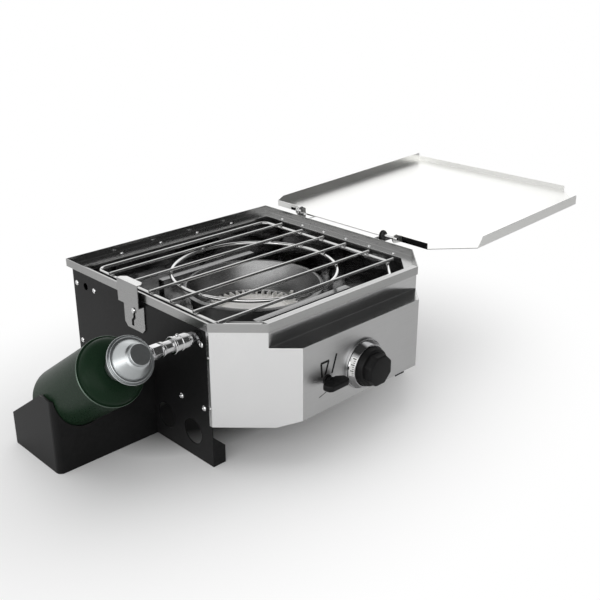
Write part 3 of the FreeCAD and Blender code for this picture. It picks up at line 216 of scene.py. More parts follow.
def metalMaterial(name, look):
    material, tree, shader = startMaterial(name)
    grain = useGroup(tree, brushedGroup, Stretch=look.get("stretch", evenGrain), Depth=look["depth"])
    cloud = useGroup(tree, smudgeGroup, Scale=smudgeScale["metal"])
    soft = combine(tree, "MULTIPLY", cloud["Cloud"], cloudShare)
    blend = combine(tree, "MULTIPLY_ADD", grain["Streak"], streakShare, soft)
    setInputs(tree, shader, {
        "Metallic": look.get("metal", 1.0),
        "Anisotropic": look.get("aniso", 0.0),
        "Base Color": mixColours(tree, blend, look["dark"], look["light"]),
        "Roughness": remap(tree, blend, 0.0, 1.0, look["smooth"], look["rough"]),
        "Normal": grain["Normal"]})
    return material


def coatMaterial(name, look):
    material, tree, shader = startMaterial(name)
    fine = useGroup(tree, fineGroup, Scale=look["grain"], Depth=look["depth"])
    cloud = useGroup(tree, smudgeGroup, Scale=smudgeScale["coat"])
    wear = useGroup(tree, wearGroup, Amount=look.get("wear", 0.5))
    ground = mixColours(tree, cloud["Cloud"], look["dark"], look["light"])
    setInputs(tree, shader, {
        "Base Color": mixColours(tree, wear["Mask"], ground, look.get("worn", grey(0.16))),
        "Roughness": remap(tree, fine["Grain"], *grainSpan, look["smooth"], look["rough"]),
        "Normal": fine["Normal"],
        "Specular IOR Level": look.get("specular", 0.5)})
    return material


metalLooks = {
    "satin_stainless": {"dark": (0.38, 0.38, 0.377), "light": (0.47, 0.47, 0.467), "smooth": 0.16,
                        "rough": 0.26, "stretch": alongX, "depth": 0.02, "aniso": 0.4},
    "front_stainless": {"dark": grey(0.82), "light": grey(0.88), "smooth": 0.22, "rough": 0.3,
                        "stretch": alongX, "depth": 0.02, "aniso": 0.3},
    "liner_steel": {"dark": grey(0.42), "light": grey(0.5), "smooth": 0.05, "rough": 0.1, "depth": 0.04},
    "bright_fastener": {"dark": grey(0.7), "light": grey(0.82), "smooth": 0.1, "rough": 0.2, "depth": 0.03},
    "grate_steel": {"dark": (0.58, 0.58, 0.575), "light": (0.7, 0.7, 0.695), "smooth": 0.05, "rough": 0.1,
                    "stretch": alongX, "depth": 0.01},
    "reflector_steel": {"dark": grey(0.22), "light": grey(0.26), "smooth": 0.24, "rough": 0.28,
                        "depth": 0.0, "aniso": 0.75},
    "burner_metal": {"dark": (0.84, 0.83, 0.81), "light": (0.94, 0.93, 0.91), "smooth": 0.5, "rough": 0.62,
                     "depth": 0.02, "metal": 0.5},
    "tube_steel": {"dark": grey(0.4), "light": grey(0.55), "smooth": 0.25, "rough": 0.4, "depth": 0.04},
    "valve_brass": {"dark": (0.5, 0.36, 0.15), "light": (0.7, 0.53, 0.25), "smooth": 0.22, "rough": 0.36,
                    "depth": 0.04},
    "chrome_trim": {"dark": (0.62, 0.62, 0.625), "light": (0.72, 0.72, 0.725), "smooth": 0.14, "rough": 0.22,
                    "depth": 0.008},
    "cast_zinc": {"dark": (0.44, 0.46, 0.465), "light": (0.52, 0.54, 0.545), "smooth": 0.3, "rough": 0.38,
                  "depth": 0.015},
}
pieceLooks = {
    # the lid's steel, set much lighter inside than out: a painted reflection of the bright backdrop
    "lidStainless": {"dark": (0.86, 0.86, 0.843), "light": (0.9, 0.9, 0.883), "smooth": 0.32, "rough": 0.4,
                     "stretch": alongX, "depth": 0.02},
    # the lid's outer face, and also the latch plate's top, where it is a painted highlight
    "lidOutside": {"dark": (0.56, 0.56, 0.555), "light": (0.66, 0.66, 0.655), "smooth": 0.2, "rough": 0.3,
                   "stretch": alongX, "depth": 0.02, "aniso": 0.4},
    "latchSteel": {"dark": (0.38, 0.38, 0.378), "light": (0.44, 0.44, 0.438), "smooth": 0.24, "rough": 0.34,
                   "stretch": alongY, "depth": 0.04},
    # a darker, rougher copy of the front steel for the control face alone: painted shade
    "controlFace": {"dark": grey(0.52), "light": grey(0.62), "smooth": 0.36, "rough": 0.44,
                    "stretch": alongX, "depth": 0.006},
    # a darker copy of the front steel for the step: painted shade
    "stepSteel": {"dark": grey(0.5), "light": grey(0.64), "smooth": 0.16, "rough": 0.24,
                  "stretch": alongX, "depth": 0.05, "aniso": 0.4},
    "railSteel": {"dark": grey(0.22), "light": grey(0.3), "smooth": 0.14, "rough": 0.22,
                  "stretch": (4.0, 120.0, 4.0), "depth": 0.01},
    "bezelChrome": {"dark": (0.38, 0.38, 0.385), "light": (0.46, 0.46, 0.465), "smooth": 0.05, "rough": 0.1,
                    "depth": 0.0},
    # a lighter green for the cylinder's shoulder bead: a painted highlight along the ring
    "beadPaint": {"dark": (0.1, 0.14, 0.11), "light": (0.14, 0.18, 0.15), "smooth": 0.2, "rough": 0.28,
                  "depth": 0.01},
    # dark steel for the inlet fitting; on the lid's cut edges the same colour is painted shade
    "darkSteel": {"dark": (0.16, 0.16, 0.165), "light": (0.24, 0.24, 0.245), "smooth": 0.14, "rough": 0.24,
                  "depth": 0.02},
}
coatLooks = {
    "black_coat": {"dark": (0.005, 0.005, 0.0052), "light": (0.008, 0.008, 0.0083), "smooth": 0.34,
                   "rough": 0.4, "grain": 1400.0, "depth": 0.006, "specular": 0.16, "wear": 0.3,
                   "worn": grey(0.06)},
    "black_plastic": {"dark": (0.0045, 0.0045, 0.0047), "light": (0.007, 0.007, 0.0072), "smooth": 0.36,
                      "rough": 0.46, "grain": 1500.0, "depth": 0.008, "specular": 0.16, "wear": 0.15,
                      "worn": grey(0.03)},
    "cylinder_paint": {"dark": (0.008, 0.02, 0.0105), "light": (0.0105, 0.0245, 0.0128), "smooth": 0.26,
                       "rough": 0.32, "grain": 500.0, "depth": 0.004, "specular": 0.05, "wear": 0.2,
                       "worn": (0.05, 0.07, 0.055)},
    "ceramic": {"dark": (0.72, 0.71, 0.68), "light": (0.8, 0.79, 0.76), "smooth": 0.2, "rough": 0.3,
                "grain": 500.0, "depth": 0.03, "wear": 0.0},
    "washer_rubber": {"dark": grey(0.012), "light": grey(0.02), "smooth": 0.5, "rough": 0.62,
                      "grain": 1500.0, "depth": 0.12},
}
printLooks = {
    "dialWhite": {"dark": (0.7, 0.7, 0.69), "light": (0.78, 0.78, 0.77), "smooth": 0.3, "rough": 0.42,
                  "grain": 700.0, "depth": 0.02, "wear": 0.0},
    "printInk": {"dark": grey(0.008), "light": grey(0.014), "smooth": 0.45, "rough": 0.6,
                 "grain": 900.0, "depth": 0.02, "wear": 0.0, "specular": 0.2},
}
materials = {name: metalMaterial(name, look) for name, look in (metalLooks | pieceLooks).items()}
materials |= {name: coatMaterial(name, look) for name, look in (coatLooks | printLooks).items()}
for node, thing in nodes.items():
    thing.data.materials.clear()
    thing.data.materials.append(materials[slotOf[node]])
print("stage: materials on CAD nodes")

# Mesh helpers: every piece is drawn in millimetres and placed in the frame's metres
mm = 0.001
cornerShare = 0.49  # of the shorter side, the most that a rounded corner takes
onAxis = 0.01  # a turned profile's point nearer to the axis lies on it
sameSpot = 1e-6  # metres


def pieceName(node):
    first, *others = node.split("_")
    return first + "".join(word.capitalize() for word in others)


def axisFrame(origin, outward, side=(1.0, 0.0, 0.0)):
    away = Vector(outward).normalized()
    across = Vector(side).normalized()
    up = away.cross(across)
    turned = Matrix((across, up, away)).transposed().to_4x4()
    return Matrix.Translation(Vector(origin)) @ turned @ Matrix.Scale(mm, 4)


def circlePoints(radius, steps):
    turns = [2 * math.pi * k / steps for k in range(steps)]
    return [(radius * math.cos(turn), radius * math.sin(turn)) for turn in turns]


def polygonPoints(radius, sides, corner):
    turns = [math.radians(360 / sides * (k + 0.5)) for k in range(sides)]
    return [(radius * math.cos(turn), radius * math.sin(turn), corner) for turn in turns]


def roundCorners(points, steps=5):
    # each point is (x, y) or (x, y, radius)
    made = []
    for index, point in enumerate(points):
        here = Vector(point[:2])
        radius = point[2] if len(point) > 2 else 0.0
        if radius <= 0:
            made.append(here)
            continue
        back = Vector(points[index - 1][:2]) - here
        ahead = Vector(points[(index + 1) % len(points)][:2]) - here
        half = back.angle(ahead) / 2
        run = min(radius / math.tan(half), back.length * cornerShare, ahead.length * cornerShare)
        radius = run * math.tan(half)
        centre = here + (back.normalized() + ahead.normalized()).normalized() * radius / math.sin(half)
        start = here + back.normalized() * run - centre
        sweep = start.angle_signed(here + ahead.normalized() * run - centre)
        for step in range(steps + 1):
            made.append(centre + Matrix.Rotation(-sweep * step / steps, 2) @ start)
    return made


def addLathe(mesh, profile, place, steps):
    # profile points are (radius, height along the axis, corner radius)
    rings = []
    for radius, height in roundCorners(profile):
        spots = [(0, 0)] if radius < onAxis else circlePoints(radius, steps)
        rings.append([mesh.verts.new(place @ Vector((*spot, height))) for spot in spots])
    for one, two in zip(rings, rings[1:] + rings[:1]):
        if len(one) == 1 and len(two) == 1:
            continue
        for k in range(steps):
            after = (k + 1) % steps
            corners = [one[k % len(one)], one[after % len(one)], two[after % len(two)], two[k % len(two)]]
            unique = list(dict.fromkeys(corners))
            if len(unique) > 2:
                mesh.faces.new(unique)


def addPrism(mesh, outline, low, high, place, edge=0.0, steps=3):
    # outline is in the local x and y, pulled from low to high, with softened edges
    local = bmesh.new()
    face = local.faces.new([local.verts.new((x, y, low)) for x, y in roundCorners(outline)])
    pulled = bmesh.ops.extrude_face_region(local, geom=[face])
    tops = [item for item in pulled["geom"] if isinstance(item, bmesh.types.BMVert)]
    bmesh.ops.translate(local, verts=tops, vec=(0, 0, high - low))
    bmesh.ops.recalc_face_normals(local, faces=local.faces)
    if edge > 0:
        rims = [side for side in local.edges if abs(side.verts[0].co.z - side.verts[1].co.z) < sameSpot]
        bmesh.ops.bevel(local, geom=rims, offset=edge, segments=steps, profile=0.5, affect="EDGES",
                        clamp_overlap=True)
    local.transform(place)
    spare = bpy.data.meshes.new("spare")
    local.to_mesh(spare)
    local.free()
    mesh.from_mesh(spare)
    bpy.data.meshes.remove(spare)


def addPatch(mesh, corners, place):
    mesh.faces.new([mesh.verts.new(place @ Vector(corner)) for corner in corners])


def seatPiece(name, mesh, body, slot, replaced=(), material=None, smooth=35.0):
    data = bpy.data.meshes.new(name)
    bmesh.ops.recalc_face_normals(mesh, faces=mesh.faces)
    mesh.to_mesh(data)
    mesh.free()
    data.materials.append(material or materials[slot])
    data.shade_smooth()
    data.set_sharp_from_angle(angle=math.radians(smooth))
    piece = bpy.data.objects.new(name, data)
    bpy.context.scene.collection.objects.link(piece)
    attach(piece, body)
    if replaced:
        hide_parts(*replaced)
    return piece


def standIn(node, mesh, slot=None, material=None, smooth=35.0):
    # a drawn piece in a node's place, with the node's body and, as a rule, its slot
    return seatPiece(pieceName(node), mesh, bodyOf[node], slot or slotOf[node], (node,), material, smooth)


def islandBoxes(node):
    # the lowest and highest corner of each separate solid of a node
    work = bmesh.new()
    work.from_mesh(nodes[node].data)
    bmesh.ops.remove_doubles(work, verts=work.verts, dist=sameSpot)
    left = set(work.verts)
    boxes = []
    while left:
        stack = [left.pop()]
        group = []
        while stack:
            vert = stack.pop()
            group.append(vert.co.copy())
            for edge in vert.link_edges:
                other = edge.other_vert(vert)
                if other in left:
                    left.remove(other)
                    stack.append(other)
        boxes.append([Vector([pick(values) for values in zip(*group)]) for pick in (min, max)])
    work.free()
    return sorted(boxes, key=lambda pair: tuple(round(value, 5) for value in pair[0]))


# Local frames, each with its z along a piece's axis
knobFrame = axisFrame(jointOf["knob_turn"]["pos_m"], (0, -1, 0))
igniterFrame = axisFrame(jointOf["igniter_turn"]["pos_m"], (0, -1, 0))
bottleFrame = axisFrame(jointOf["cylinder_turn"]["pos_m"], jointOf["cylinder_turn"]["axis"])
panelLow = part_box("left_side_panel")[0]
inletFrame = axisFrame((panelLow.x, *middleOf(*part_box("coupler_socket"))[1:]), (-1, 0, 0), (0, 0, 1))
burnerFrame = axisFrame((*middleOf(*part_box("burner_bowl"))[:2], 0.0), (0, 0, 1))
print("stage: mesh helpers and local frames")

# Holder: its two outer upright corners are rounded in plan
holderLook = {"frontCorner": 9.0, "rearCorner": 6.0, "spare": 5.0, "reach": (-20.0, 400.0)}


def holderPlan(look):
    left, front, right, rear = [corner[axis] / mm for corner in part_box("cylinder_holder") for axis in (0, 1)]
    inside = right + look["spare"]
    return [(left, front, look["frontCorner"]), (inside, front),
            (inside, rear), (left, rear, look["rearCorner"])]


def trimToPlan(piece, plan):
    # keeps what lies inside an upright prism, so that upright corners follow its rounded plan
    shape = bmesh.new()
    addPrism(shape, plan, *holderLook["reach"], Matrix.Scale(mm, 4))
    data = bpy.data.meshes.new("planTool")
    shape.to_mesh(data)
    shape.free()
    tool = bpy.data.objects.new("planTool", data)
    bpy.context.scene.collection.objects.link(tool)
    trim = piece.modifiers.new("trim", "BOOLEAN")
    trim.operation = "INTERSECT"
    trim.solver = "EXACT"
    trim.object = tool
    seen = piece.evaluated_get(bpy.context.evaluated_depsgraph_get())
    made = bpy.data.meshes.new_from_object(seen)
    piece.modifiers.remove(trim)
    piece.data = made
    bpy.data.objects.remove(tool)
    bpy.data.meshes.remove(data)


# Sheet metal, holder and brackets: the CAD forms with softened edges
edgeLook = {"same": 2e-6, "flat": 0.5, "shade": 50.0, "sharp": 40.0, "steps": 2}


def softenNode(node, look):
    name = pieceName(node)
    extra = look.get("extra", ())
    work = bmesh.new()
    work.from_mesh(nodes[node].data)
    bmesh.ops.remove_doubles(work, verts=work.verts, dist=edgeLook["same"])
    bmesh.ops.dissolve_limit(work, angle_limit=math.radians(edgeLook["flat"]),
                             verts=work.verts, edges=work.edges)
    if "split" in look:
        # deep notched faces are cut up first, because the edge rounding fills their notches
        bmesh.ops.triangulate(work, faces=[face for face in work.faces if len(face.verts) > look["split"]])
    marks = [next((mark for mark, (finish, test) in enumerate(extra, start=1) if test(face)), 0)
             for face in work.faces]
    data = bpy.data.meshes.new(name)
    work.to_mesh(data)
    work.free()
    for spare in ("custom_normal", "sharp_edge", "sharp_face"):
        if spare in data.attributes:
            data.attributes.remove(data.attributes[spare])
    data.materials.clear()
    for finish in [look.get("finish", slotOf[node])] + [finish for finish, test in extra]:
        data.materials.append(materials[finish])
    data.polygons.foreach_set("material_index", marks)
    data.shade_smooth()
    data.set_sharp_from_angle(angle=math.radians(edgeLook["shade"]))
    piece = bpy.data.objects.new(name, data)
    bpy.context.scene.collection.objects.link(piece)
    if "plan" in look:
        trimToPlan(piece, look["plan"])
    bevel = piece.modifiers.new("edgeRound", "BEVEL")
    bevel.width = look["round"] * mm
    bevel.segments = look.get("steps", edgeLook["steps"])
    bevel.limit_method = "ANGLE"
    bevel.angle_limit = math.radians(edgeLook["sharp"])
    bevel.harden_normals = True
    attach(piece, bodyOf[node])
    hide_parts(node)
    return piece


# Tests for faces with a finish of their own, in metres of the frame
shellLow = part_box("front_shell")[0]
faceLook = {"level": 0.9, "control": 0.001, "earBack": -0.06, "earReach": 0.04,
            "cornerBack": -0.1, "flangeBack": -0.17, "flangeThick": 0.002}


def spanOf(face, axis):
    along = [vert.co[axis] for vert in face.verts]
    return min(along), max(along)


def onControlFace(face):
    return face.normal.y < -0.95 and face.calc_center_median().y < shellLow.y + faceLook["control"]


def onStep(face):
    # the shelf above the control face and the upright behind it, which take a darker steel: painted shade on
    # the front sheet
    return abs(face.normal.x) < 0.3 and not onControlFace(face)


def onPaintedShadeEar(face):
    # the lid's hem beside the front hinge, dark in the photograph; it gets black coat, painted shade on the
    # lid's own steel
    atFront = spanOf(face, 1)[1] < faceLook["earBack"]
    nearRim = spanOf(face, 0)[1] < rimHigh.x + faceLook["earReach"]
    return face.normal.x < -faceLook["level"] and atFront and nearRim


def onPaintedShadeEdge(face):
    # the lid's slanted front corners and the top of its front flange, thin dark lines in the photograph, given
    # dark steel as painted shade on the lid's own sheet
    low, high = spanOf(face, 1)
    slanted = abs(face.normal.z) < 0.2 and 0.3 < abs(face.normal.x) < 0.9
    thin = high < faceLook["flangeBack"] and high - low < faceLook["flangeThick"]
    return (slanted and high < faceLook["cornerBack"]) or (face.normal.z > faceLook["level"] and thin)


# the latch plate's top face takes a lighter steel than its upright: a painted highlight
def onPaintedHighlightLatchTop(face):
    return face.normal.z > faceLook["level"]


def onLidOutside(face):
    # the lid's outer face, which turns up when the lid is shut
    return face.normal.z < -faceLook["level"]


sheetLooks = {
    "rim_frame": {"round": 0.5, "steps": 3},
    "left_side_panel": {"round": 0.5},
    "right_side_panel": {"round": 0.5},
    "rear_panel": {"round": 0.4},
    # the front sheet's control face and step take darker copies of its steel: painted shade
    "front_shell": {"round": 0.5, "steps": 3,
                    "extra": (("controlFace", onControlFace), ("stepSteel", onStep))},
    "firebox_liner": {"round": 0.4},
    "grate_tabs": {"round": 0.4, "finish": "railSteel"},
    "rear_rail": {"round": 0.6, "finish": "railSteel"},
    "front_rail": {"round": 0.6, "finish": "railSteel"},
    "latch_plate": {"round": 0.4, "steps": 3, "finish": "latchSteel", "extra": (("lidOutside", onPaintedHighlightLatchTop),)},
    # the lid is lighter inside than outside, a painted reflection; its front ear and cut edges carry painted
    # shade
    "lid_tray": {"round": 0.4, "finish": "lidStainless", "split": 8,
                 "extra": (("black_coat", onPaintedShadeEar), ("darkSteel", onPaintedShadeEdge),
                           ("lidOutside", onLidOutside))},
    "front_hinge_bracket": {"round": 0.5},
    "rear_hinge_bracket": {"round": 0.5},
    "cylinder_holder": {"round": 1.5, "steps": 3, "plan": holderPlan(holderLook)},
    "electrode_bracket": {"round": 0.3},
    "gas_valve": {"round": 0.6},
    "hinge_washers": {"round": 0.3},
    "front_hinge_pin": {"round": 0.5, "steps": 3},
    "rear_hinge_pin": {"round": 0.5, "steps": 3},
    "grate_bars": {"round": 0.9, "steps": 4},
    "igniter_body": {"round": 0.6},
    "valve_stem": {"round": 0.4},
    "electrode_rod": {"round": 0.3},
    "air_shutter": {"round": 0.3},
    "cylinder_valve": {"round": 0.4},
}
for node, look in sheetLooks.items():
    softenNode(node, look)
print("stage: softened sheet pieces")

# Rivets and screws
rivetLook = {"steps": 28, "rows": 7}


def addRivets(node, outward):
    mesh = bmesh.new()
    rows = rivetLook["rows"]
    for low, high in islandBoxes(node):
        size = high - low
        away = outward(low)
        depth = abs(size.dot(away)) / mm
        radius = max(size) / 2 / mm
        seat = (low + high) / 2 - away * depth * mm / 2
        side = (0, 1, 0) if abs(away.x) > 0.5 else (1, 0, 0)
        rises = [math.pi / 2 * k / rows for k in range(rows)]
        dome = [(radius * math.cos(rise), depth * math.sin(rise)) for rise in rises] + [(0.0, depth)]
        addLathe(mesh, [(0.0, 0.0), (radius, 0.0)] + dome, axisFrame(seat, away, side), rivetLook["steps"])
    standIn(node, mesh, smooth=60.0)


screwLook = {"grip": 2.8, "shank": 2.0, "rows": 18, "steps": 64, "dome": 0.94, "crossHalf": 0.62,
             "crossReach": 2.2, "crossDepth": 1.1, "ramp": 0.8, "rampStart": 0.35,
             "turn": 0.35, "turnOn": 37.0}


def addScrews(node, away, grip, shank, rows, steps, dome, crossHalf, crossReach, crossDepth, ramp, rampStart,
              turn, turnOn):
    mesh = bmesh.new()
    for low, high in islandBoxes(node):
        radius = (high.y - low.y) / 2 / mm
        head = (high.x - low.x) / mm - grip
        seatX = high.x - grip * mm if away.x < 0 else low.x + grip * mm
        place = axisFrame((seatX, *middleOf(low, high)[1:]), away, (0, 1, 0))
        spin = Matrix.Rotation(turn + low.y * turnOn, 4, "Z")
        middle = mesh.verts.new(place @ Vector((0, 0, head - crossDepth)))
        rings = []
        for row in range(1, rows + 1):
            out = radius * row / rows
            height = head * math.sqrt(max(0.0, 1 - (out / radius) ** 2 * dome))
            rings.append([])
            for x, y in circlePoints(out, steps):
                spot = spin @ Vector((x, y, 0))
                near, far = sorted((abs(spot.x), abs(spot.y)))
                inCross = near < crossHalf and far < crossReach
                sunk = crossDepth * min(1.0, (crossReach - far) / ramp + rampStart) if inCross else 0.0
                spot.z = max(height - sunk, 0.0)
                rings[-1].append(mesh.verts.new(place @ spot))
        rings.append([mesh.verts.new(place @ Vector((x, y, 0))) for x, y in circlePoints(radius, steps)])
        pairs = [(k, (k + 1) % steps) for k in range(steps)]
        for k, after in pairs:
            mesh.faces.new((middle, rings[0][k], rings[0][after]))
        for one, two in zip(rings, rings[1:]):
            for k, after in pairs:
                mesh.faces.new((one[k], two[k], two[after], one[after]))
        mesh.faces.new(rings[-1])
        addLathe(mesh, [(0.0, 0.0), (shank, 0.0), (shank, -grip, 0.4), (0.0, -grip)], place, 24)
    standIn(node, mesh, smooth=42.0)


addRivets("rim_rivets", lambda low: Vector((0, 0, 1)))
addRivets("front_flange_rivets", lambda low: Vector((-1 if low.x < rimTop.x else 1, 0, 0)))
addScrews("left_panel_screws", Vector((-1, 0, 0)), **screwLook)
addScrews("right_panel_screws", Vector((1, 0, 0)), **screwLook)

studLook = {"shank": 2.5, "head": 4.5, "headHeight": 2.2, "faceShare": 0.7}


def drawStud(shank, head, headHeight, faceShare):
    low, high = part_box("latch_stud")
    reach = (high.x - low.x) / mm
    seat = reach - headHeight
    stud = bmesh.new()
    addLathe(stud, [
        (0, 0), (shank, 0), (shank, seat), (head, seat, 0.5), (head, seat + 1.0, 1.0),
        (head * faceShare, reach, 0.8), (0, reach)],
        axisFrame((high.x, *middleOf(low, high)[1:]), (-1, 0, 0), (0, 1, 0)), 40)
    standIn("latch_stud", stud)


drawStud(**studLook)
print("stage: fasteners")

# Burner: spun bowl, base and finned crown
bowlLook = {"hole": 66.0, "floor": 130.0, "top": 187.0, "mouth": 107.6, "rim": 114.0, "sheet": 1.0,
            "stepIn": 80.0, "stepOut": 83.0, "step": 1.6, "wall": 93.2, "droop": 2.6}


def drawBowl(hole, floor, top, mouth, rim, sheet, stepIn, stepOut, step, wall, droop):
    floorTop = floor + sheet
    raised = floorTop + step
    lip = top - droop
    bowl = bmesh.new()
    addLathe(bowl, [
        (hole, floorTop, 0.3), (stepIn, floorTop, 2.0), (stepOut, raised, 2.0), (wall, raised, 7.0),
        (mouth, top, 2.0), (rim, lip, 0.45), (rim, lip - sheet, 0.45), (mouth + sheet, top - 1.2, 1.5),
        (wall + 1.2, raised - sheet, 8.0), (stepOut + 0.6, raised - sheet, 2.0), (stepIn + 0.6, floor, 2.0),
        (hole, floor, 0.3)], burnerFrame, 160)
    standIn("burner_bowl", bowl, smooth=40.0)


baseLook = {"flange": 78.0, "mouth": 65.0, "inside": 59.0, "hub": 14.0, "bore": 11.08,
            "foot": 106.0, "neck": 114.0, "well": 117.0, "under": 131.0, "top": 134.0}


def drawBase(flange, mouth, inside, hub, bore, foot, neck, well, under, top):
    base = bmesh.new()
    addLathe(base, [
        (flange, top, 1.0), (flange, under, 0.4), (mouth, under, 2.0), (hub, neck, 3.0),
        (hub, foot, 0.4), (bore, foot, 0.4), (bore, well, 2.0), (inside, top, 3.0)], burnerFrame, 128)
    standIn("burner_base", base, smooth=40.0)


crownLook = {"fins": 40, "inner": 61.0, "outer": 72.0, "low": 134.0, "ring": 138.0, "top": 145.0, "tip": 75.6,
             "stem": 1.9, "head": 3.4, "headLength": 4.2, "edge": 0.45}


def drawCrown(fins, inner, outer, low, ring, top, tip, stem, head, headLength, edge):
    crown = bmesh.new()
    addLathe(crown, [(inner, low, 0.3), (outer, low, 0.3), (outer, ring, 0.8), (inner, ring, 0.8)],
             burnerFrame, 160)
    neck = tip - headLength
    half = [(inner + 0.4, stem / 2, 0.5), (neck, stem / 2, 0.4),
            (neck + 0.8, head / 2, 0.6), (tip, head / 2, 0.9)]
    outline = [(x, -y, corner) for x, y, corner in half] + half[::-1]
    for fin in range(fins):
        spin = burnerFrame @ Matrix.Rotation(2 * math.pi * fin / fins, 4, "Z")
        addPrism(crown, outline, low + 1.0, top, spin, edge, 2)
    standIn("burner_crown", crown)


drawBowl(**bowlLook)
drawBase(**baseLook)
drawCrown(**crownLook)
print("stage: burner")

# Grate: weld beads where the bars cross the two wires
weldLook = {"half": (2.6, 2.0, 1.5), "wire": 3.0, "apart": 1.5, "sink": 0.1, "cornerCut": 46.0,
            "waves": (5200, 4700), "ripple": 0.12}


def drawWelds(half, wire, apart, sink, cornerCut, waves, ripple):
    weld = bmesh.new()
    ringLow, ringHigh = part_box("grate_ring")
    frameLow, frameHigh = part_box("grate_frame")
    ringMid = (ringLow + ringHigh) / 2
    ringRadius = (ringHigh.x - ringLow.x) / 2 - wire * mm
    reach = (frameHigh.x - frameLow.x) / 2 - wire * mm
    middle = (frameHigh.x + frameLow.x) / 2
    front = frameLow.y + wire * mm
    size = Matrix.Diagonal((*[value * mm for value in half], 1.0))
    for low, high in islandBoxes("grate_bars"):
        barY = (low.y + high.y) / 2
        slope = max(0.0, front + cornerCut * mm - barY)  # the frame wire's front corners are cut
        spots = [middle - reach + slope, middle + reach - slope]
        away = ringRadius ** 2 - (barY - ringMid.y) ** 2
        if away > 0:
            spots += [ringMid.x - math.sqrt(away), ringMid.x + math.sqrt(away)]
        for x in spots:
            for sign in (-1, 1):
                seat = Matrix.Translation((x, barY + sign * apart * mm, ringHigh.z - sink * mm))
                bmesh.ops.create_icosphere(weld, subdivisions=3, radius=1.0, matrix=seat @ size)
    for vert in weld.verts:
        wave = math.sin(vert.co.x * waves[0]) * math.sin(vert.co.y * waves[1] + 1.0)
        vert.co.z += wave * ripple * mm
    seatPiece("grateWelds", weld, "stove", "grate_steel", smooth=60.0)


drawWelds(**weldLook)
for node in ("grate_frame", "grate_ring"):
    nodes[node].data.shade_smooth()
print("stage: grate")

# Knob, bezel and igniter key
bezelLook = {"flange": 38.6, "flangeDepth": 4.5, "drum": 36.5, "nose": 32.6, "depth": 15.0, "bore": 31.0,
             "floor": 2.5, "hole": 9.08, "groove": 1.8}


def drawBezel(flange, flangeDepth, drum, nose, depth, bore, floor, hole, groove):
    bezel = bmesh.new()
    addLathe(bezel, [
        (hole, 0.0), (flange, 0.0, 0.3), (flange, flangeDepth, 1.0), (drum + 0.7, flangeDepth, 0.4),
        (drum + 0.5, flangeDepth - groove, 0.2), (drum - 0.3, flangeDepth - groove, 0.2),
        (drum, flangeDepth + 0.4, 0.3), (nose, depth, 0.7), (bore, depth, 0.4), (bore, floor, 0.6),
        (hole, floor)], knobFrame, 144)
    standIn("knob_bezel", bezel, material=materials["bezelChrome"])


def addBezelPatch(mesh, start, end, low, high, lift):
    # a patch on the bezel's cone, between two turns in degrees and two heights
    corners = []
    for degrees, height in ((start, low), (end, low), (end, high), (start, high)):
        share = (height - bezelLook["flangeDepth"]) / (bezelLook["depth"] - bezelLook["flangeDepth"])
        radius = bezelLook["drum"] + (bezelLook["nose"] - bezelLook["drum"]) * share + lift
        angle = math.radians(degrees)
        corners.append((radius * math.cos(angle), radius * math.sin(angle), height))
    addPatch(mesh, corners, knobFrame)


# the ticks' sizes are their length and half their width in degrees
dialLook = {"start": 142.0, "end": 190.0, "low": 5.8, "high": 14.3, "lift": 0.12, "parts": 40,
            "ticks": 9, "tickLift": 0.2, "tickDrop": 1.0, "main": (5.0, 1.1), "minor": (2.75, 0.7)}


def drawDial(start, end, low, high, lift, parts, ticks, tickLift, tickDrop, main, minor):
    strip = bmesh.new()
    turns = [start + (end - start) * k / parts for k in range(parts + 1)]
    for one, two in zip(turns, turns[1:]):
        addBezelPatch(strip, one, two, low, high, lift)
    bmesh.ops.remove_doubles(strip, verts=strip.verts, dist=sameSpot)
    seatPiece("dialStrip", strip, "stove", "chrome_trim", material=materials["dialWhite"])
    marks = bmesh.new()
    top = high - tickDrop
    for k in range(ticks):
        middle = start + (end - start) * (k + 0.7) / (ticks + 0.4)
        length, half = minor if k % 3 else main
        addBezelPatch(marks, middle - half, middle + half, top - length, top, tickLift)
    seatPiece("dialTicks", marks, "stove", "black_plastic", material=materials["printInk"])


# each station of the cap is its height, its share of the cap's radius and its corner radius
knobLook = {"skirt": 30.0, "skirtBack": 13.5, "skirtFront": 24.0, "cap": 25.3, "sides": 8, "bore": 4.1,
            "stations": ((23.0, 1.0, 5.0), (31.0, 0.99, 5.0), (34.4, 0.975, 5.0),
                         (36.2, 0.945, 4.4), (37.0, 0.9, 4.4), (37.3, 0.84, 4.4))}


def drawKnob(skirt, skirtBack, skirtFront, cap, sides, bore, stations):
    knob = bmesh.new()
    seat = skirtFront + 1.0
    addLathe(knob, [
        (bore, skirtBack), (skirt - 0.4, skirtBack, 0.8), (skirt, skirtBack + 1.5, 1.0),
        (skirt - 1.6, skirtFront, 2.2), (cap - 3.0, seat, 1.5), (bore, seat)], knobFrame, 120)
    rings = []
    for height, share, corner in stations:
        line = roundCorners(polygonPoints(cap * share, sides, corner), 6)
        rings.append([knob.verts.new(knobFrame @ Vector((x, y, height))) for x, y in line])
    for one, two in zip(rings, rings[1:]):
        for k in range(len(one)):
            after = (k + 1) % len(one)
            knob.faces.new((one[k], one[after], two[after], two[k]))
    knob.faces.new(rings[-1])
    knob.faces.new(rings[0][::-1])
    standIn("control_knob", knob, smooth=30.0)


keyLook = {"wing": ((11.0, 5.0, 3.0), (22.0, 13.0, 4.0), (20.5, 23.5, 4.0), (15.0, 27.0, 6.0)),
           "halfThick": 5.0, "edge": 2.6, "stem": 6.0, "stemBack": 2.3, "stemFront": 9.0,
           "spindle": 3.0, "spindleBack": -8.0, "spindleFront": 3.0}


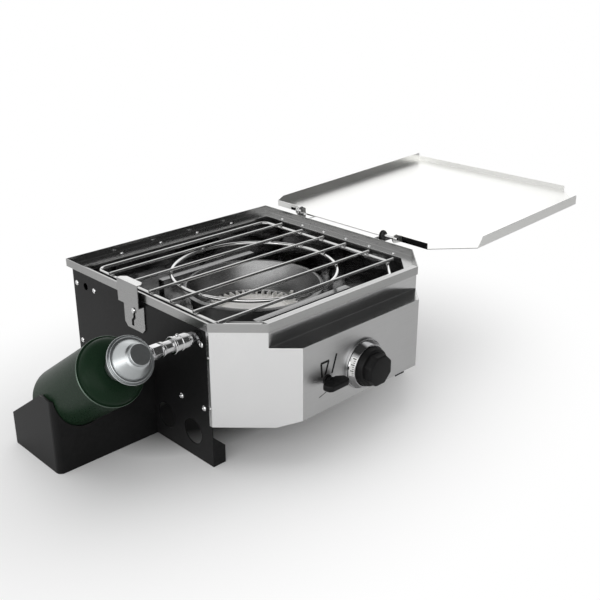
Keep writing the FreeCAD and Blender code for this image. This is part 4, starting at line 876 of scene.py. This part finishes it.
def drawKey(wing, halfThick, edge, stem, stemBack, stemFront, spindle, spindleBack, spindleFront):
    key = bmesh.new()
    plan = axisFrame(igniterFrame.translation, (0, 0, 1)) @ Matrix.Rotation(math.pi, 4, "X")
    outline = [*wing, *((-x, y, corner) for x, y, corner in reversed(wing))]
    addPrism(key, outline, -halfThick, halfThick, plan, edge, 5)
    addLathe(key, [(0, stemBack), (stem, stemBack, 0.4), (stem + 1.2, stemFront, 1.0), (0, stemFront)],
             igniterFrame, 48)
    addLathe(key, [(0, spindleBack), (spindle, spindleBack, 0.4), (spindle, spindleFront), (0, spindleFront)],
             igniterFrame, 32)
    standIn("igniter_key", key, smooth=30.0)


# Printed ignition sign on the control face: each stroke runs from one spot to another
signLook = {"shift": 3.0, "lift": 0.06, "line": 3.6, "fine": 1.2,
            "strokes": (((-90, -72), (-73, -72), "line"), ((-74, -72), (-80.5, -92), "line"),
                        ((-89, -72), (-87, -94), "line"), ((-58, -66), (-67, -94), "line"),
                        ((-93, -124), (-75, -119), "fine"))}


def drawSign(look):
    knobX, knobY, knobZ = jointOf["knob_turn"]["pos_m"]
    place = axisFrame((knobX + look["shift"] * mm, knobY, rimHigh.z), (0, -1, 0))
    sign = bmesh.new()
    for start, end, width in look["strokes"]:
        one, two = Vector(start), Vector(end)
        off = (two - one).normalized().orthogonal() * look[width] / 2
        corners = (one + off, two + off, two - off, one - off)
        addPatch(sign, [(*corner, look["lift"]) for corner in corners], place)
    seatPiece("ignitionSign", sign, "stove", "black_plastic", material=materials["printInk"])


drawBezel(**bezelLook)
drawDial(**dialLook)
drawKnob(**knobLook)
drawKey(**keyLook)
drawSign(signLook)
print("stage: controls")

# Gas set: regulator, cylinder and quick coupler
capLook = {"low": 8.6, "disc": 33.0, "discTop": 11.6, "step": 30.4, "stepTop": 14.2, "foot": 26.6,
           "waist": 16.2, "waistAt": 33.0, "button": 14.5, "top": 39.6}


def drawRegulatorCap(low, disc, discTop, step, stepTop, foot, waist, waistAt, button, top):
    cap = bmesh.new()
    addLathe(cap, [
        (0, low), (disc - 0.6, low, 0.5), (disc, low + 1.2, 0.9), (disc - 0.2, discTop, 1.1),
        (step + 1.2, discTop - 0.1, 0.5), (step + 0.6, discTop - 0.9, 0.3), (step, discTop - 0.4, 0.4),
        (step - 0.3, stepTop, 1.2), (foot + 1.0, stepTop - 0.1, 0.6), (foot + 0.3, stepTop - 0.8, 0.3),
        (foot - 0.6, stepTop + 1.2, 1.5), (waist + 1.2, waistAt - 1.6, 3.0), (waist - 1.0, waistAt, 0.8),
        (button, waistAt + 0.4, 0.4), (button, top, 1.0), (button - 3.0, top, 0.6), (0, top - 0.25)],
        bottleFrame, 144)
    standIn("regulator_cap", cap, smooth=32.0)


bodyLook = {"wide": 23.0, "front": 8.6, "back": -14.0, "union": 19.0, "unionBack": -26.5, "bore": 12.7,
            "roof": -17.9, "ribs": 36, "ribEnd": 1.6, "outlet": 8.2, "outletSpan": (8.0, 26.0)}


def drawRegulatorBody(wide, front, back, union, unionBack, bore, roof, ribs, ribEnd, outlet, outletSpan):
    regulator = bmesh.new()
    addLathe(regulator, [
        (0, roof), (0, front), (wide, front, 0.6), (wide, back, 2.0), (union + 0.6, back, 0.6),
        (union, back - 1.0, 0.6), (union, unionBack, 1.2), (bore, unionBack, 0.6), (bore, roof)],
        bottleFrame, 96)
    foot, crest = union - 0.8, union - 0.02
    for rib in range(ribs):
        turn = bottleFrame @ Matrix.Rotation(2 * math.pi * rib / ribs, 4, "Z")
        addPrism(regulator, [(foot, -0.8), (crest, -0.5), (crest, 0.5), (foot, 0.8)],
                 unionBack + ribEnd, back - ribEnd, turn)
    near, far = outletSpan
    addLathe(regulator, [(0, near), (outlet, near), (outlet, far, 0.8), (0, far)],
             axisFrame(bottleFrame.translation, (1, 0, 0), (0, 0, 1)), 64)
    standIn("regulator_body", regulator, smooth=32.0)


bottleLook = {"radius": 48.6, "neck": 12.6, "neckTop": -18.0, "neckBack": -28.0, "port": 6.0,
              "portDepth": 6.0, "shoulder": -50.0, "shoulderIn": 4.4, "shoulderParts": 18, "dome": 46.2,
              "bead": 0.7, "end": -226.0, "foot": 36.0}


def drawBottle(radius, neck, neckTop, neckBack, port, portDepth, shoulder, shoulderIn, shoulderParts, dome,
               bead, end, foot):
    line = []
    for k in range(shoulderParts + 1):
        angle = math.pi / 2 * k / shoulderParts
        line.append((neck + shoulderIn + (dome - neck - shoulderIn) * math.sin(angle),
                     shoulder + 1.2 + (neckBack - 2.4 - shoulder) * math.cos(angle)))
    wall = radius - bead
    bottle = bmesh.new()
    addLathe(bottle, [
        (0, neckTop - portDepth), (port, neckTop - portDepth), (port, neckTop, 0.5), (neck, neckTop, 0.8),
        (neck, neckBack, 1.0), (neck + 4.2, neckBack, 0.8), *line, (dome + 0.3, shoulder + 0.6, 0.2),
        (radius + 0.3, shoulder + 1.0, 1.0), (radius + 0.3, shoulder - 1.2, 1.0), (wall, shoulder - 2.2, 0.6),
        (wall, end + 12.0, 8.0), (radius - 8.0, end + 2.0, 5.0), (foot + 0.6, end, 1.0),
        (foot - 3.0, end, 1.0), (foot - 3.0, end + 6.0, 1.5), (0, end + 8.0)], bottleFrame, 144)
    piece = standIn("gas_cylinder", bottle, smooth=32.0)
    # the bead's faces get the lighter green: a painted highlight on the shoulder ring
    piece.data.materials.append(materials["beadPaint"])
    inBottle = bottleFrame.inverted()
    for face in piece.data.polygons:
        spot = inBottle @ face.center
        if abs(spot.z - shoulder) < 1.0 and spot.xy.length > radius - 0.6:
            face.material_index = 1


fittingLook = {"length": 16.0, "flats": 9.0, "corner": 0.3, "thread": 6.0, "threadSpan": (-1.6, 0.5),
               "block": 6.0, "blockSpan": (-12.5, -1.5)}


def drawFitting(length, flats, corner, thread, threadSpan, block, blockSpan):
    fitting = bmesh.new()
    addPrism(fitting, polygonPoints(flats, 6, corner), 0.0, length, inletFrame, 0.9)
    low, high = threadSpan
    addLathe(fitting, [(0, low), (thread, low), (thread, high), (0, high)], inletFrame, 40)
    square = [(x * block, y * block, 0.6) for x, y in ((-1, -1), (1, -1), (1, 1), (-1, 1))]
    addPrism(fitting, square, *blockSpan, inletFrame, 0.6, 2)
    standIn("inlet_fitting", fitting, "chrome_trim", materials["darkSteel"])


socketLook = {"start": 16.0, "end": 48.0, "radius": 8.0, "bore": 5.08, "roof": 33.9}


def drawSocket(start, end, radius, bore, roof):
    socket = bmesh.new()
    addLathe(socket, [
        (0, roof), (bore, roof), (bore, end, 0.5), (radius, end, 0.6), (radius, start, 0.4), (0, start)],
        inletFrame, 72)
    standIn("coupler_socket", socket)


sleeveLook = {"start": 19.6, "end": 46.6, "radius": 11.5, "bore": 8.08, "nose": 10.4, "noseEnd": 22.4,
              "groove": 10.7, "grooveAt": 33.0, "neck": 10.9, "neckAt": 42.6, "ring": 12.6, "pip": 2.35,
              "pipAt": 36.6}


def drawSleeve(start, end, radius, bore, nose, noseEnd, groove, grooveAt, neck, neckAt, ring, pip, pipAt):
    sleeve = bmesh.new()
    addLathe(sleeve, [
        (bore, start, 0.4), (nose, start, 0.8), (nose, noseEnd, 0.5), (radius, noseEnd + 0.8, 0.6),
        (radius, grooveAt, 0.5), (groove, grooveAt + 0.6, 0.3), (groove, grooveAt + 1.4, 0.3),
        (radius, grooveAt + 2.0, 0.5), (radius, neckAt, 0.5), (neck, neckAt + 0.6, 0.3),
        (ring, neckAt + 1.2, 0.7), (ring, end, 0.9), (bore, end, 0.5)], inletFrame, 96)
    seat = inletFrame @ Matrix.Translation((radius + 0.6, 0, pipAt))
    bmesh.ops.create_uvsphere(sleeve, u_segments=24, v_segments=16, radius=pip, matrix=seat)
    standIn("coupler_sleeve", sleeve, smooth=32.0)


plugLook = {"tip": 5.0, "nose": 34.3, "seat": 48.3, "radius": 9.0, "groove": 0.8, "ring": 10.5,
            "ringAt": 61.3, "ringWide": 3.0, "neck": 8.2, "flats": 10.4, "corner": 0.3,
            "flatsAt": 66.3, "flatsEnd": 79.3, "end": 90.2}


def drawPlug(tip, nose, seat, radius, groove, ring, ringAt, ringWide, neck, flats, corner, flatsAt,
             flatsEnd, end):
    plug = bmesh.new()
    addLathe(plug, [
        (0, nose), (tip, nose, 0.6), (tip, seat), (radius, seat, 0.8), (radius, ringAt - 1.6, 0.4),
        (radius - groove, ringAt - 1.0, 0.3), (radius - groove, ringAt, 0.3), (ring, ringAt, 0.6),
        (ring, ringAt + ringWide, 0.6), (neck, ringAt + ringWide, 0.3), (neck, end), (0, end)],
        inletFrame, 96)
    addPrism(plug, polygonPoints(flats, 6, corner), flatsAt, flatsEnd, inletFrame, 1.0)
    standIn("coupler_plug", plug, smooth=32.0)


drawRegulatorCap(**capLook)
drawRegulatorBody(**bodyLook)
drawBottle(**bottleLook)
drawFitting(**fittingLook)
drawSocket(**socketLook)
drawSleeve(**sleeveLook)
drawPlug(**plugLook)
print("stage: gas set")

# Floor: away from the object the paper fades to plain white for the camera, near it the shadow stays; under
# the stove its colour is darkened, a painted shadow
floorLook = {"size": 60.0, "drop": 0.0004, "tone": 0.88, "under": 0.1, "underSpan": (0.06, 0.12),
             "fadeSpan": (0.06, 0.53), "shift": -0.1, "oval": 0.62, "rough": 0.9, "specular": 0.1}


def floorPaper(look):
    material, tree, shader = startMaterial("floorPaper")
    middle = ((rimTop.x + look["shift"]) * look["oval"], rimTop.y, 0.0)
    place = combineVectors(tree, "MULTIPLY", objectPlace(tree), (look["oval"], 1.0, 1.0))[0]
    away = combineVectors(tree, "DISTANCE", place, middle)["Value"]
    fade = remap(tree, away, *look["fadeSpan"], kind="SMOOTHSTEP")
    # under the stove the ramp darkens the paper's colour to the under tone: a painted contact shadow
    under = remap(tree, away, *look["underSpan"])
    seen = addNode(tree, "ShaderNodeLightPath").outputs["Is Camera Ray"]
    mask = combine(tree, "MULTIPLY", combine(tree, "MULTIPLY", fade, under), seen)
    setInputs(tree, shader, {
        "Base Color": mixColours(tree, under, grey(look["under"]), grey(look["tone"])),
        "Roughness": look["rough"],
        "Specular IOR Level": look["specular"]})
    white = addNode(tree, "ShaderNodeEmission")
    mixed = addNode(tree, "ShaderNodeMixShader", {0: mask, 1: shader.outputs[0], 2: white.outputs[0]})
    setInputs(tree, tree.nodes["Material Output"], {"Surface": mixed.outputs[0]})
    return material


floorMesh = bpy.data.meshes.new("studioFloor")
half = floorLook["size"] / 2
floorCorners = [(-half, -half, 0), (half, -half, 0), (half, half, 0), (-half, half, 0)]
floorMesh.from_pydata(floorCorners, [], [(0, 1, 2, 3)])
floorMesh.materials.append(floorPaper(floorLook))
studioFloor = bpy.data.objects.new("studioFloor", floorMesh)
bpy.context.scene.collection.objects.link(studioFloor)
studioFloor.location.z = -floorLook["drop"]

# World: a white studio, with an unlit side right of the front and an unlit patch of roof for metal to mirror
worldLook = {"white": 0.6, "mirrored": 1.0, "dark": 0.06, "side": (0.5, -0.74, 0.45), "sideSpan": (0.6, 0.88),
             "roof": (-0.1, 0.0, 1.0), "roofSpan": (0.78, 0.92)}


def lightWorld(look):
    world = bpy.data.worlds.new("studioWorld")
    bpy.context.scene.world = world
    world.use_nodes = True
    tree = world.node_tree
    place = addNode(tree, "ShaderNodeTexCoord").outputs["Generated"]
    side = combineVectors(tree, "DOT_PRODUCT", place, Vector(look["side"]).normalized())["Value"]
    sideTone = remap(tree, side, *look["sideSpan"], 1.0, look["dark"], kind="SMOOTHSTEP")
    roof = combineVectors(tree, "DOT_PRODUCT", place, Vector(look["roof"]).normalized())["Value"]
    roofTone = remap(tree, roof, *look["roofSpan"], look["mirrored"], look["dark"])
    seen = addNode(tree, "ShaderNodeLightPath").outputs
    level = mixValues(tree, seen["Is Glossy Ray"], look["white"], roofTone)
    shade = combine(tree, "MULTIPLY", sideTone, level)
    strength = mixValues(tree, seen["Is Camera Ray"], shade, 1.0)
    setInputs(tree, tree.nodes["Background"], {"Color": (1.0, 1.0, 1.0, 1.0), "Strength": strength})


lightWorld(worldLook)

# Lamps and camera, placed from the middle of the rim's top
lampLooks = {
    "overheadLamp": {"at": (0.0, 0.2, 2.2), "size": (2.4, 1.8), "energy": 14.0, "mirrored": False},
    "leftLamp": {"at": (-1.9, -0.1, 0.15), "size": (1.0, 0.7), "energy": 4.4},
    "backLamp": {"at": (1.7, 1.9, 0.95), "size": (3.0, 1.6), "energy": 5.0, "aim": (0.4, 0.1, 0.0)},
    "frontLamp": {"at": (-1.5, -1.5, 0.8), "size": (2.6, 1.5), "energy": 15.0},
}


def placeAndAim(thing, offset, target):
    bpy.context.scene.collection.objects.link(thing)
    thing.location = rimTop + Vector(offset)
    gaze = rimTop + Vector(target) - thing.location
    thing.rotation_euler = gaze.to_track_quat("-Z", "Y").to_euler()


def addLamp(name, look):
    data = bpy.data.lights.new(name, "AREA")
    data.shape = "RECTANGLE"
    data.size, data.size_y = look["size"]
    data.energy = look["energy"]
    lamp = bpy.data.objects.new(name, data)
    lamp.visible_camera = False
    lamp.visible_glossy = look.get("mirrored", True)
    placeAndAim(lamp, look["at"], look.get("aim", (0.1, 0.0, -0.1)))


for lampName, look in lampLooks.items():
    addLamp(lampName, look)

cameraLook = {"offset": (-0.8729, -1.0009, 0.4752), "target": (-0.0695, -0.1779, 0.0), "lens": 52.686,
              "sensor": 36.0}
cameraData = bpy.data.cameras.new("photoCamera")
cameraData.lens = cameraLook["lens"]
cameraData.sensor_width = cameraLook["sensor"]
camera = bpy.data.objects.new("photoCamera", cameraData)
placeAndAim(camera, cameraLook["offset"], cameraLook["target"])
bpy.context.scene.camera = camera
bpy.context.scene.view_settings.view_transform = "Standard"
print("stage: studio and camera")
